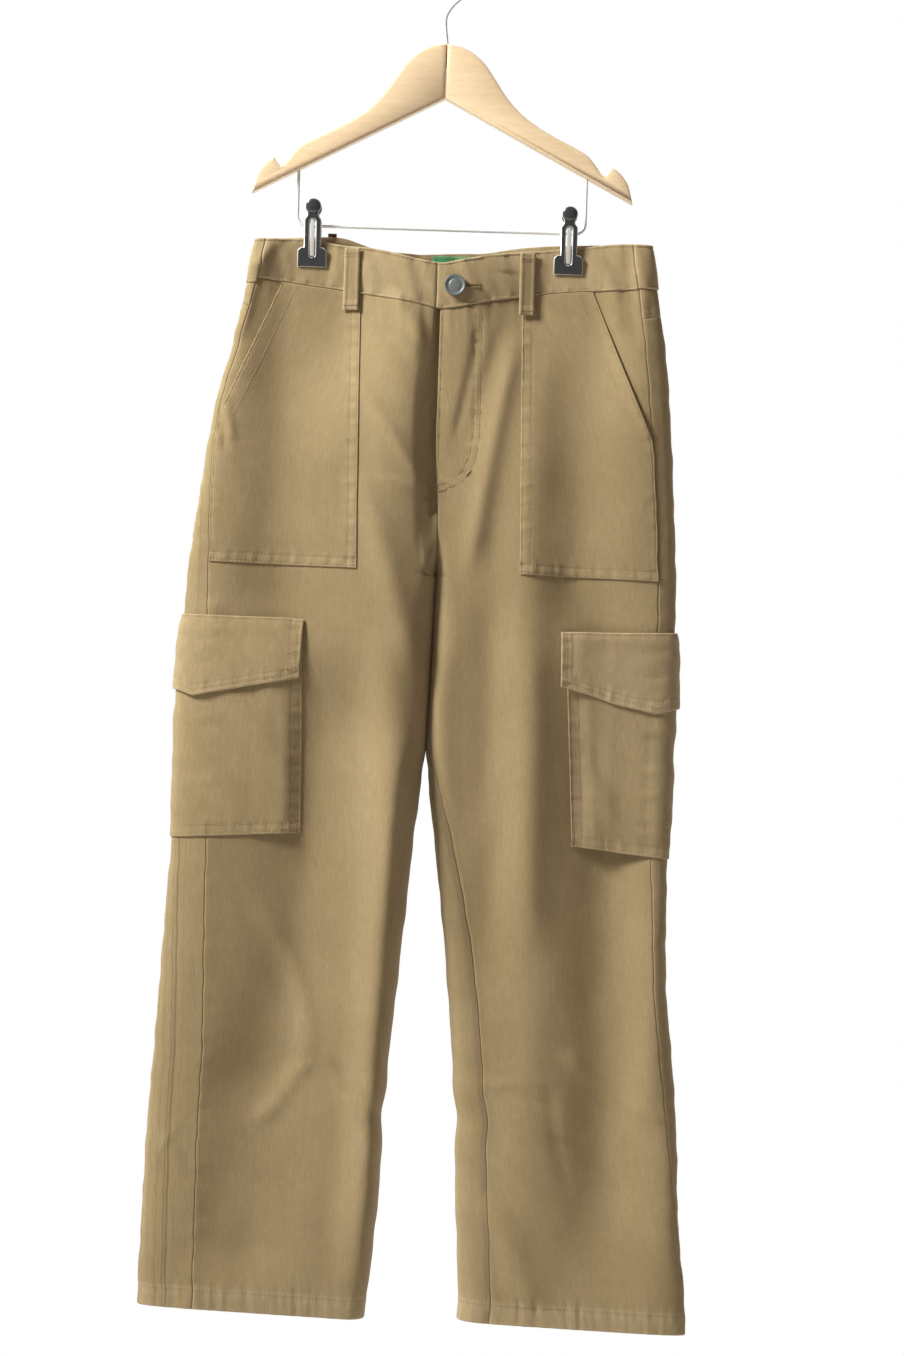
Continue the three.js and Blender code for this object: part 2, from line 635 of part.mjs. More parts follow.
// A grid round the leg's outer edge: the front's columns from a pocket's inner edge out, then
// the back's.
function roundLeg(front, back, { highest, lowest, frontColumns, backColumns }) {
  const within = (grid) => grid.filter(
    (row) => row[0].point.z < highest && row[0].point.z > lowest);
  const backs = within(back);
  return within(front).map((row, r) => [
    ...row.slice(0, frontColumns).reverse(),
    ...backs[r].slice(0, backColumns),
  ]);
}

// The two halves of a cutter that follows a pocket from the front round to the back.
function wrappedCutter(side, frontOutline, backOutline) {
  const front = prism(wound(side, frontOutline), hangPlane - beyond.depth, hangPlane);
  const back = prism(wound(side, backOutline), hangPlane, hangPlane + beyond.depth);
  return solid(front).add(solid(back));
}

function makeCargoPocket(side, front, back) {
  const size = cargoPockets[side.name];
  const far = beyond.side * side.sign;
  const grid = roundLeg(front, back, cargoGrid);
  const middle = (size.bagTop + size.bagFoot[0]) / 2;
  const half = (size.bagTop - size.bagFoot[0]) / 2;
  const crown = (cell) => {
    const p = cell.point;
    const edge = p.y < hangPlane ? size.bagEdge[1] : size.backX;
    const inFromEdge = clamp((p.x - edge) * side.sign / bag.crownReach);
    return bag.crown * clamp(1 - ((p.z - middle) / half) ** 4) * inFromEdge;
  };
  const bagFace = (cell) => restGap + bag.wall + crown(cell);
  const bagWall = wall(grid, bagFace, (cell) => bagFace(cell) - bag.wall);
  const bagOuter = [[size.outerX, size.bagFoot[1]], [far, size.bagFoot[1]], [far, size.bagTop]];
  const bagCutter = wrappedCutter(side,
    [[size.bagEdge[0], size.bagTop], [size.bagEdge[1], size.bagFoot[0]], ...bagOuter],
    [[size.backX, size.bagTop], [size.backX, size.bagFoot[2]], ...bagOuter]);
  add(`cargo_pocket_${side.name}`, keep(bagWall, bagCutter), 'twill');

  const under = (cell) => mix(restGap, bagFace(cell) + restGap,
    smooth(flap.rampTop, flap.rampFoot, cell.point.z));
  const flapWall = wall(grid, (cell) => under(cell) + flap.wall, under);
  const flapOuter = [[size.outerX, size.flapFoot[1]], [far, size.flapFoot[1]],
    [far, size.flapTop[1]], [size.outerX, size.flapTop[1]]];
  const flapCutter = wrappedCutter(side,
    [[size.flapEdge[0], size.flapTop[0]], [size.flapEdge[1], size.flapFoot[0]], size.point,
      ...flapOuter],
    [[size.backX, size.flapTop[2]], [size.backX, size.flapFoot[2]], ...flapOuter]);
  add(`cargo_flap_${side.name}`, keep(flapWall, flapCutter), 'twill');
}

// A belt loop: a strip over the waistband, sewn at both ends and bowed out between them.
function makeLoop({ name, side, x, front }, grids) {
  const top = waistLine(front ? 'frontTop' : 'backTop')(x) - loop.top;
  const drop = front ? loop.frontDrop : loop.backDrop;
  const rows = 8;
  const grid = [];
  for (let r = 0; r <= rows; r += 1) {
    const share = r / rows;
    const z = top - drop * share;
    grid.push([-0.5, -0.25, 0, 0.25, 0.5].map(
      (s) => ({ ...cellAt(grids, side, front, x + s * loop.width, z), share })));
  }
  const under = (cell) => sewnGap + loop.bow * Math.sin(Math.PI * cell.share);
  add(`belt_loop_${name}`, wall(grid, (cell) => under(cell) + loop.wall, under), 'twill');
}

// The button's head has a raised rim, and its shank goes through the keyhole to the underlap.
function makeButton(bands) {
  const lapFace = cellAt([bands.left], sides.left, true, button.x, button.z).point.y - band.proud;
  const shankLength = button.stand + band.wall + restGap;
  const { radius, rim, dish, height } = button;
  const profile = [
    [0, dish - height], [radius - rim - dish, dish - height], [radius - rim, -height],
    [radius - dish, -height], [radius, dish - height], [radius, -dish], [radius - dish, 0],
    [button.shank, 0], [button.shank, shankLength], [0, shankLength],
  ].map(([r, y]) => new THREE.Vector2(r, y));
  const geometry = new THREE.LatheGeometry(profile, 22);
  geometry.translate(button.x, lapFace - button.stand, button.z);
  add('button', sealed(geometry), 'button');
}

// One closed skin, its seams welded.
function sealed(geometry) {
  geometry.deleteAttribute('normal');
  geometry.deleteAttribute('uv');
  return turnedOut(mergeVertices(geometry, 1e-4));
}

// The sewn-in label hangs inside the back waistband, the tab stands up outside it.
function makeLabel(bands) {
  const inside = raised(bands.back, band.proud - band.wall);
  const grid = [0, 0.5, 1].map((down) => [0, 0.25, 0.5, 0.75, 1].map((share) => {
    const z = mix(label.top, label.foot, down);
    const x = mix(label.from, label.to, share);
    const side = x < innerX(sides.right, false, z) ? sides.right : sides.left;
    return cellAt([inside], side, false, x, z);
  }));
  add('label', wall(grid, -restGap, -restGap - label.wall), 'label');
}

function makeTab(bands) {
  const outside = raised(bands.back, band.proud);
  const edge = waistLine('backTop')((tab.from + tab.to) / 2);
  const sewn = [tab.lip, mix(tab.lip, tab.drop, 0.5), tab.drop].map((down) => [tab.from, tab.to].map(
    (x) => cellAt([outside], sides.right, false, x, edge - down)));
  const top = sewn[0].map((cell) => ({ ...cell, point: cell.point.clone().setZ(edge + tab.rise) }));
  add('tab', wall([top, ...sewn], sewnGap + tab.wall, sewnGap), 'tab');
}

// A round wire along a curve in a plane of constant y.
function wire(curve, diameter, steps) {
  const section = new THREE.Shape();
  section.absarc(0, 0, diameter / 2, 0, 2 * Math.PI, false);
  return new THREE.ExtrudeGeometry(section, {
    steps, extrudePath: curve, curveSegments: 4, bevelEnabled: false,
  });
}

const sweepY = (x) => -Math.tan(wood.sweep) * Math.abs(x);

// Two arms meet at the crown, each turned a little forward, with a notch near the tip.
function makeArms() {
  const shape = new THREE.Shape();
  shape.moveTo(armTop[0].x, wood.undersideZ);
  shape.lineTo(armTop[0].x, armTop[0].z);
  shape.splineThru(armTop.slice(1).map((p) => new THREE.Vector2(p.x, p.z)));
  shape.lineTo(armNotch.x, armNotch.z);
  shape.lineTo(armLobe[0].x, armLobe[0].z);
  shape.splineThru(armLobe.slice(1).map((p) => new THREE.Vector2(p.x, p.z)));
  shape.lineTo(armTip.x, armTip.z);
  const options = {
    depth: wood.thickness - 2 * wood.edge,
    curveSegments: 2,
    bevelEnabled: true,
    bevelThickness: wood.edge,
    bevelSize: wood.edge,
    bevelOffset: -wood.edge,
    bevelSegments: 2,
  };
  const plain = new THREE.ExtrudeGeometry(shape, options).rotateX(Math.PI / 2);
  plain.translate(0, wood.thickness / 2 - wood.edge, 0);
  for (const [name, sign] of [['right', -1], ['left', 1]]) {
    const arm = plain.clone().scale(sign, 1, 1);
    const p = arm.attributes.position;
    for (let i = 0; i < p.count; i += 1) p.setY(i, p.getY(i) + sweepY(p.getX(i)));
    const stemBore = bore(hook.wire, 0, 0, hook.stemFoot + fit.bore / 2);
    const barBore = bore(bar.wire, sign * bar.x, hangPlane, bar.top - fit.bore / 2);
    add(`hanger_arm_${name}`, cut(cut(sealed(arm), stemBore), barBore), 'wood');
  }
}

// What a wire's upright hole takes away, its closed end a slack past the wire's own.
function bore(diameter, x, y, z) {
  const radius = diameter / 2 + fit.slack;
  const length = fit.bore + 2 * fit.slack;
  return new THREE.CylinderGeometry(radius, radius, length, 10).rotateX(Math.PI / 2).translate(x, y, z);
}

function makeHook() {
  const centreZ = hook.wire / 2 - hook.bend;
  const path = hookStem.map(({ x, z }) => new THREE.Vector3(x, 0, z));
  for (let degrees = hook.firstTurn; degrees <= hook.lastTurn; degrees += hook.turnStep) {
    const angle = degrees * Math.PI / 180;
    path.push(new THREE.Vector3(hook.bend * Math.cos(angle), 0, centreZ + hook.bend * Math.sin(angle)));
  }
  add('hook', wire(new THREE.CatmullRomCurve3(path, false, 'centripetal'), hook.wire, 36), 'wire');
}

function makeClipBar() {
  const path = new THREE.CurvePath();
  const corner = (x, z) => new THREE.Vector3(x, hangPlane, z);
  const low = bar.z + bar.corner;
  const across = bar.x - bar.corner;
  path.add(new THREE.LineCurve3(corner(-bar.x, bar.top), corner(-bar.x, low)));
  path.add(new THREE.QuadraticBezierCurve3(corner(-bar.x, low), corner(-bar.x, bar.z),
    corner(-across, bar.z)));
  path.add(new THREE.LineCurve3(corner(-across, bar.z), corner(across, bar.z)));
  path.add(new THREE.QuadraticBezierCurve3(corner(across, bar.z), corner(bar.x, bar.z),
    corner(bar.x, low)));
  path.add(new THREE.LineCurve3(corner(bar.x, low), corner(bar.x, bar.top)));
  add('clip_bar', wire(path, bar.wire, 60), 'wire');
}

// A pressed steel plate: round knob, neck, slotted body and wider jaw.
function clipPlate() {
  const shape = new THREE.Shape();
  const shoulder = clip.body + clip.shoulderOut;
  const knobTurn = Math.asin(clip.neck / clip.knobRadius) - Math.PI / 2;
  shape.moveTo(-clip.jaw, clip.jawZ);
  shape.lineTo(clip.jaw, clip.jawZ);
  shape.lineTo(clip.jaw, clip.jawTop);
  shape.lineTo(shoulder, clip.shoulder);
  shape.lineTo(clip.body, clip.shoulder);
  shape.lineTo(clip.body, clip.bodyTop);
  shape.lineTo(clip.neck, clip.neckFoot);
  shape.absarc(0, clip.knobZ, clip.knobRadius, knobTurn, Math.PI - knobTurn, false);
  shape.lineTo(-clip.neck, clip.neckFoot);
  shape.lineTo(-clip.body, clip.bodyTop);
  shape.lineTo(-clip.body, clip.shoulder);
  shape.lineTo(-shoulder, clip.shoulder);
  shape.lineTo(-clip.jaw, clip.jawTop);
  const slot = new THREE.Path();
  slot.absarc(0, clip.slotTop, clip.slotRadius, 0, Math.PI, false);
  slot.absarc(0, clip.slotFoot, clip.slotRadius, Math.PI, 2 * Math.PI, false);
  shape.holes.push(slot);
  const options = { depth: clip.wall, curveSegments: 10, bevelEnabled: false };
  return new THREE.ExtrudeGeometry(shape, options).rotateX(Math.PI / 2);
}

// A clip grips the band between two plates that lean apart above it, with a spring's turns on
// the bar between them.
function makeClips() {
  const jawFace = pinch.depth + band.proud + restGap;
  const springBore = bar.wire / 2 + fit.slack;
  for (const [name, sign] of [['right', -1], ['left', 1]]) {
    for (const [place, facing] of [['front', 1], ['back', -1]]) {
      const plate = clipPlate();
      plate.translate(0, 0, -clip.jawZ).rotateX(clip.lean);
      plate.translate(sign * pinch.x, -jawFace, clip.jawZ);
      plate.scale(1, facing, 1).translate(0, hangPlane, 0);
      add(`clip_${name}_${place}`, sealed(plate), 'clip');
    }
    for (const [place, offset] of [['outer', spring.offset], ['inner', -spring.offset]]) {
      const half = spring.halfLength;
      const ring = [[springBore, -half], [spring.radius, -half], [spring.radius, half],
        [springBore, half], [springBore, -half]].map(([r, y]) => new THREE.Vector2(r, y));
      const turns = new THREE.LatheGeometry(ring, 16).rotateZ(Math.PI / 2);
      turns.translate(sign * (pinch.x + offset), hangPlane, bar.z);
      add(`clip_spring_${name}_${place}`, sealed(turns), 'wire');
    }
  }
}

const panels = {};
for (const side of [sides.right, sides.left]) {
  panels[side.name] = makePanels(side);
  makeFrontPocket(side, panels[side.name].front);
  makeCargoPocket(side, panels[side.name].front, panels[side.name].back);
}
const bands = makeWaistband();
for (const row of beltLoops) {
  const own = panels[row.side];
  const grids = row.front
    ? [raised(bands[row.side], band.proud), raised(own.front, restGap + patch.wall)]
    : [raised(bands.back, band.proud), own.yoke];
  makeLoop({ ...row, side: sides[row.side] }, grids);
}
makeButton(bands);
makeLabel(bands);
makeTab(bands);
makeArms();
makeHook();
makeClipBar();
makeClips();

export default group;
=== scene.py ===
import bpy
import math
import numpy as np
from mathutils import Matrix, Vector


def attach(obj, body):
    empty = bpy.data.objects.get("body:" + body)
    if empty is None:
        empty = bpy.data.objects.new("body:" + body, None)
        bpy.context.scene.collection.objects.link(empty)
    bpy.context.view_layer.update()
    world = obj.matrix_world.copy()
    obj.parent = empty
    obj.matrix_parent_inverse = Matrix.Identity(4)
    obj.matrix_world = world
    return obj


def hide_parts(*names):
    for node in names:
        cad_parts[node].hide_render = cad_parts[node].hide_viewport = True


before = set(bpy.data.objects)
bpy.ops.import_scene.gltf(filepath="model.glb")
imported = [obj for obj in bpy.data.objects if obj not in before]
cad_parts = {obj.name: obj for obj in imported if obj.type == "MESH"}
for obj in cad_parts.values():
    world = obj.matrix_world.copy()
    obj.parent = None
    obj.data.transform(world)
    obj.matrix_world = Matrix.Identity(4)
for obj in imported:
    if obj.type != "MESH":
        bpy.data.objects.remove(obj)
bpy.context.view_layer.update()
scene = bpy.context.scene
scene.view_settings.view_transform = "Standard"
metre = 0.001  # everything below is worked out in millimetres and made in metres
chance = np.random.default_rng(11)
print("frame loaded")

shot = {"distance": 2.5, "across": 0.0199, "height": -0.576, "lens": 83.0, "roll": -1.8, "sensor": 36}


def added(name, data):
    made = bpy.data.objects.new(name, data)
    scene.collection.objects.link(made)
    return made


def makeCamera():
    data = bpy.data.cameras.new("camera")
    data.lens, data.sensor_width = shot["lens"], shot["sensor"]
    scene.camera = added("camera", data)
    scene.camera.location = (shot["across"], -shot["distance"], shot["height"])
    scene.camera.rotation_euler = (math.radians(90), math.radians(shot["roll"]), 0)


makeCamera()

studio = {
    "keyPlace": (-1.85, -0.92, 1.2), "keySize": (0.56, 0.8), "keyPower": 126,
    "keyColour": (1.0, 0.985, 0.95), "aim": (0.0, 0.0, -0.4),
    "backdrop": (1.0, 1.0, 1.0), "behind": (1.25, 1.25, 1.25), "before": (0.142, 0.104, 0.090),
    "fadeFrom": -0.15, "fadeTo": 0.5,
    "floorDepth": -1.75, "floorSize": 4.6, "floorColour": (0.82, 0.82, 0.81),
}


def makeLight():
    data = bpy.data.lights.new("softKey", "AREA")
    data.shape = "RECTANGLE"
    data.size, data.size_y = studio["keySize"]
    data.energy = studio["keyPower"]
    data.color = studio["keyColour"]
    key = added("softKey", data)
    key.location = studio["keyPlace"]
    aim = Vector(studio["aim"]) - Vector(studio["keyPlace"])
    key.rotation_euler = aim.to_track_quat("-Z", "Y").to_euler()


class Wire:  # a socket that can be used in an expression
    def __init__(self, look, socket):
        self.look = look
        self.socket = socket

    def maths(self, operation, *values):
        return self.look.node("ShaderNodeMath", {"operation": operation}, dict(enumerate(values)))

    def __add__(self, other): return self.maths("ADD", self, other)
    def __radd__(self, other): return self.maths("ADD", other, self)
    def __sub__(self, other): return self.maths("SUBTRACT", self, other)
    def __rsub__(self, other): return self.maths("SUBTRACT", other, self)
    def __mul__(self, other): return self.maths("MULTIPLY", self, other)
    def __rmul__(self, other): return self.maths("MULTIPLY", other, self)
    def sine(self): return self.maths("SINE", self)
    def held(self): return self.look.node("ShaderNodeClamp", {}, {"Value": self})


class Look:  # a material or a world, and the one way its nodes are made
    def __init__(self, name, kept=bpy.data.materials, output="ShaderNodeOutputMaterial"):
        self.owner = kept.new(name)
        self.owner.use_nodes = True
        self.tree = self.owner.node_tree
        self.tree.nodes.clear()
        self.surface = self.tree.nodes.new(output).inputs["Surface"]

    def node(self, kind, settings, values, out=0):
        made = self.tree.nodes.new(kind)
        for key, value in settings.items():
            setattr(made, key, value)
        for key, value in values.items():
            socket = made.inputs[key]
            if isinstance(key, str) and kind == "ShaderNodeMix":
                socket = [s for s in made.inputs if s.name == key and s.enabled][0]
            if isinstance(value, Wire):
                self.tree.links.new(value.socket, socket)
            elif socket.type == "RGBA":
                socket.default_value = (*value, 1)
            else:
                socket.default_value = value
        if kind == "ShaderNodeMix":
            return Wire(self, [s for s in made.outputs if s.enabled][0])
        return Wire(self, made.outputs[out])

    def blend(self, factor, a, b):
        return self.node("ShaderNodeMix", {"data_type": "RGBA"}, {"Factor": factor, "A": a, "B": b})

    def noise(self, place, scale, detail=2.0, roughness=0.5):
        return self.node("ShaderNodeTexNoise", {}, {
            "Vector": place, "Scale": scale, "Detail": detail, "Roughness": roughness}, "Fac")

    def stretched(self, place, by):
        return self.node("ShaderNodeVectorMath", {"operation": "MULTIPLY"}, {0: place, 1: by})

    def object(self):
        return self.node("ShaderNodeTexCoord", {}, {}, "Object")

    def bump(self, height, distance, strength=1.0):
        values = {"Strength": strength, "Distance": distance, "Height": height}
        return self.node("ShaderNodeBump", {}, values)

    def split(self, place, axis):
        return self.node("ShaderNodeSeparateXYZ", {}, {0: place}, axis)

    def done(self, values, kind="ShaderNodeBsdfPrincipled"):
        self.tree.links.new(self.node(kind, {}, values).socket, self.surface)
        return self.owner


# Bright all round behind the trousers, dimmer before them, and a plain pale backdrop.
def makeWorld():
    look = Look("studio", bpy.data.worlds, "ShaderNodeOutputWorld")
    behind = look.node("ShaderNodeMapRange", {}, {
        "Value": look.split(look.node("ShaderNodeTexCoord", {}, {}, "Generated"), "Y"),
        "From Min": studio["fadeFrom"], "From Max": studio["fadeTo"]})
    lit = look.blend(behind, studio["before"], studio["behind"])
    scene.world = look.done({
        0: look.node("ShaderNodeLightPath", {}, {}, "Is Camera Ray"),
        1: look.node("ShaderNodeBackground", {}, {"Color": lit}),
        2: look.node("ShaderNodeBackground", {}, {"Color": studio["backdrop"]})}, "ShaderNodeMixShader")


twill = {
    "colour": (0.385, 0.292, 0.150), "pale": (0.56, 0.445, 0.27), "deep": (0.25, 0.178, 0.085),
    "pitch": 0.00085, "slub": 0.9, "streaks": 0.34, "mottle": 0.7, "lines": 0.08, "weave": 0.00022,
    "roughness": 0.92, "offGrid": (0.013, 0.029, 0.0137),
}


# The cotton's own pattern follows the cloth: diagonal ribs, slubs both ways and a washed mottle.
# It is laid off the grid on which the noise's values repeat.
def makeTwill():
    f = Look("khakiTwill")
    flat = f.node("ShaderNodeUVMap", {"uv_map": "cloth"}, {})
    cloth = f.node("ShaderNodeVectorMath", {"operation": "ADD"}, {0: flat, 1: twill["offGrid"]})
    turn = 2 * math.pi / twill["pitch"]
    ribs = (f.split(cloth, "X") * turn + f.split(cloth, "Y") * (turn * 1.5)).sine() * 0.5 + 0.5
    warp = f.noise(f.stretched(cloth, (1500, 110, 60)), 1.0)
    weft = f.noise(f.stretched(cloth, (120, 1500, 60)), 1.0)
    slub = warp + weft * 0.45 - 0.72
    streaks = f.noise(f.stretched(cloth, (330, 26, 27)), 1.0, 4) - 0.5
    mottle = f.noise(cloth, 16.0, 4, 0.62) - 0.5
    # The wear attribute lightens and darkens the cloth. Part of it is real wear and part is painted light:
    # painted shade along stitch grooves, painted highlights on puckers, ridges and edges, and a lighter
    # left cargo bag and flap.
    wearAndPaintedLight = f.node("ShaderNodeAttribute", {"attribute_name": "wearAndPaintedLight"}, {}, "Fac")
    shade = wearAndPaintedLight + slub * twill["slub"] + streaks * twill["streaks"] + mottle * twill["mottle"]
    shade = shade + (ribs - 0.5) * twill["lines"]
    colour = f.blend(shade.held(), twill["colour"], twill["pale"])
    colour = f.blend((0.0 - shade).held(), colour, twill["deep"])
    fuzz = f.noise(cloth, 2400.0)
    return f.done({
        "Base Color": colour, "Roughness": twill["roughness"], "Specular IOR Level": 0.15,
        "Sheen Weight": 0.1, "Sheen Roughness": 0.5,
        "Normal": f.bump(ribs * 0.6 + slub * 0.9 + fuzz * 0.4, twill["weave"])})


def makeThread(name, colour, shade):
    f = Look(name)
    place = f.object()
    body = f.blend((f.noise(place, 260.0) * 0.8).held(), colour, shade)
    return f.done({"Base Color": body, "Roughness": 0.75, "Sheen Weight": 0.15,
                   "Normal": f.bump(f.noise(place, 4200.0, 1), 0.0001)})


# Grain runs along the arms, with pores, a slow change of tone and a thin lacquer.
def makeWood(name, pale, dark):
    f = Look(name)
    place = f.object()
    grain = f.noise(f.stretched(place, (16, 170, 300)), 1.0, 5, 0.62)
    slow = f.noise(f.stretched(place, (9, 22, 30)), 1.0, 3)
    pores = f.noise(f.stretched(place, (70, 1100, 1700)), 1.0)
    body = f.blend((grain * 1.1 + slow * 0.5 - 0.42).held(), pale, dark)
    body = f.blend((pores * 0.9 - 0.42).held(), body, tuple(c * 0.62 for c in dark))
    return f.done({"Base Color": body, "Roughness": grain * 0.16 + 0.34, "Coat Weight": 0.3,
                   "Coat Roughness": 0.22, "Normal": f.bump(grain * 0.5 + pores * 0.5, 0.00012)})


def makeMetal(name, colour, shade, roughness, metallic=1.0, coat=0.0):
    f = Look(name)
    place = f.object()
    cloudy = f.noise(place, 120.0, 3)
    fine = f.noise(f.stretched(place, (1400, 1400, 260)), 1.0)
    body = f.blend((cloudy * 0.8).held(), colour, shade)
    return f.done({"Base Color": body, "Metallic": metallic, "Coat Weight": coat,
                   "Roughness": (cloudy * 0.14 + fine * 0.16 + (roughness - 0.15)).held(),
                   "Normal": f.bump(fine, 0.00003)})


tapePitch = 0.0009


def makeWoven(name, colour, pale):
    f = Look(name)
    place = f.object()
    ribs = (f.split(place, "Z") * (2 * math.pi / tapePitch)).sine() * 0.5 + 0.5
    tone = f.noise(place, 800.0)
    return f.done({"Base Color": f.blend((ribs * 0.3 + tone * 0.4).held(), colour, pale), "Roughness": 0.8,
                   "Sheen Weight": 0.15, "Normal": f.bump(ribs + tone * 0.5, 0.00012)})


finishes = {
    "twill": makeTwill(),
    "thread": makeThread("khakiThread", (0.44, 0.335, 0.19), (0.31, 0.226, 0.122)),
    "darkThread": makeThread("buttonholeThread", (0.40, 0.30, 0.14), (0.27, 0.195, 0.09)),
    "wood": makeWood("paleWood", (0.90, 0.72, 0.47), (0.76, 0.55, 0.32)),
    "wire": makeMetal("brightWire", (0.94, 0.95, 0.95), (0.85, 0.86, 0.86), 0.3, 0.2),
    "clip": makeMetal("blackClip", (0.085, 0.100, 0.102), (0.045, 0.054, 0.056), 0.3, 0.4, 1.0),
    "liner": makeMetal("clipLiner", (0.88, 0.90, 0.89), (0.72, 0.74, 0.73), 0.32, 0.3),
    "button": makeMetal("dullButton", (0.30, 0.335, 0.33), (0.17, 0.195, 0.195), 0.5, 0.6),
    "label": makeWoven("greenTape", (0.035, 0.30, 0.105), (0.085, 0.42, 0.19)),
    # The dark brown strip finish is painted shade: it stands for the deep shade between the bands at the
    # back.
    "tab": makeWoven("paintedShadeStrip", (0.085, 0.033, 0.016), (0.15, 0.062, 0.032)),
}
print("materials made")


def table(names, rows):
    return {name: np.array([row[i] for row in rows]) for i, name in enumerate(names.split())}


# Levels of the hanging cloth: each side's outer and inner edge, how far front and back stand off
# the mid plane, and the share of a leg's width over which its inner edge turns.
sections = table("z rightOuter rightInner leftInner leftOuter front back round", [
    [-226, -146.0, 1.5, 1.5, 168.0, 12, 11, 0.05],
    [-262, -152.3, 1.7, 1.7, 173.6, 14.5, 13, 0.05],
    [-322, -164.4, 1.5, 1.5, 183.2, 19, 17, 0.05],
    [-355, -173.2, 1.5, 1.5, 186.3, 20, 19, 0.05],
    [-390, -179.4, 1.4, 1.4, 189.3, 20, 21, 0.05],
    [-440, -186.1, 4.4, 4.4, 192.5, 20, 23, 0.05],
    [-487, -192.0, 4.2, 5.0, 195.5, 19, 24, 0.06],
    [-536, -195.0, 3.2, 4.2, 196.3, 18, 22, 0.13],
    [-590, -196.0, 1.7, 2.8, 195.8, 17, 20, 0.22],
    [-640, -197.0, -0.3, 1.9, 195.0, 16, 18, 0.32],
    [-700, -198.5, -6.0, 8.7, 195.6, 16, 17, 0.42],
    [-760, -202.0, -10.9, 16.8, 196.2, 16, 17, 0.5],
    [-820, -205.0, -15.9, 23.8, 198.2, 16, 17, 0.5],
    [-880, -208.2, -20.9, 29.4, 205.0, 16, 17, 0.5],
    [-940, -211.6, -23.8, 33.4, 210.2, 16, 18, 0.5],
    [-1000, -213.3, -26.3, 35.9, 213.0, 17, 18, 0.5],
    [-1060, -215.0, -31.6, 39.7, 219.8, 17, 19, 0.5],
    [-1092, -214.8, -34.8, 39.3, 222.0, 17, 19, 0.5],
])

seams = table("z rightSide leftSide rightInseam leftInseam", [
    [-262, 8.0, 15.2, 0, 0],
    [-330, 5.0, 16.4, 0, 0],
    [-390, 5.2, 15.4, 0, 0],
    [-440, 10.0, 14.4, 0, 0],
    [-487, 16.3, 14.8, 0, 0],
    [-580, 22.0, 13.5, -1, 0.5],
    [-640, 25.0, 13.5, -5, 5],
    [-700, 28.0, 14.0, -10, 14],
    [-760, 31.8, 11.5, -14, 19.7],
    [-820, 35.8, 10.4, -17, 22.8],
    [-880, 39.6, 10.0, -19, 23.7],
    [-940, 41.2, 7.3, -20, 24.6],
    [-1000, 42.8, 2.6, -20, 25.5],
    [-1092, 45.3, 0.6, -20, 25.8],
])

waist = table("x frontTop frontSeam backTop", [
    [-150, -231.5, -262.0, -231.5],
    [-104, -230.2, -267.6, -228.6],
    [-78, -234.5, -270.8, -228.4],
    [-52, -236.7, -274.6, -235.6],
    [-20, -243.8, -280.0, -238.0],
    [1, -247.0, -284.0, -237.4],
    [12, -245.0, -283.2, -236.7],
    [36, -240.0, -277.6, -236.0],
    [61, -236.0, -272.8, -232.2],
    [88, -233.1, -268.3, -229.6],
    [111, -230.3, -266.0, -228.4],
    [138, -227.4, -264.7, -227.2],
    [172, -227.0, -262.5, -227.0],
])

# Folds of each face, as (fromX, fromZ, midX, toX, toZ, width, height): a soft ridge or hollow along
# a curve whose middle point is halfway down.
folds = {
    "rightFront": [
        (-30, -300, -28, -28, -585, 34, 9), (-24, -600, -24, -28, -1060, 21, 19),
        (-114, -310, -120, -116, -540, 34, -8), (-90, -590, -92, -120, -900, 34, -9),
        (-112, -880, -124, -136, -1050, 42, -6.5), (-192, -560, -198, -208, -1050, 40, 7),
        (-52, -430, -31, -10, -566, 11, 3), (-34, -272, -20, 0, -318, 8, 3),
    ],
    "leftFront": [
        (84, -300, 76, 76, -560, 18, 4.2), (86, -570, 88, 90, -1060, 25, 4),
        (80, -548, 80, 83, -770, 17, 6),
        (116, -310, 121, 130, -540, 28, -7), (140, -560, 152, 156, -1030, 30, -13),
        (190, -600, 196, 210, -1050, 22, 6), (64, -306, 48, 35, -480, 10, 3.4),
        (50, -300, 38, 24, -392, 7.5, -1.6), (186, -760, 186, 180, -930, 13, 4),
        (66, -990, 80, 98, -1066, 12, 3), (54, -520, 57, 60, -800, 16, -4),
        (12, -520, 12, 20, -820, 15, 3.5),
    ],
    "rightBack": [
        (-20, -345, -46, -88, -470, 20, -5), (-22, -475, -50, -92, -560, 20, -6),
        (-72, -600, -78, -88, -1040, 24, -8), (-132, -560, -138, -144, -1040, 24, 5),
    ],
    "leftBack": [
        (36, -350, 66, 108, -476, 20, -5), (34, -478, 64, 106, -566, 20, -6),
        (84, -606, 92, 108, -1050, 24, -8), (146, -565, 152, 164, -1045, 24, 5),
    ],
}

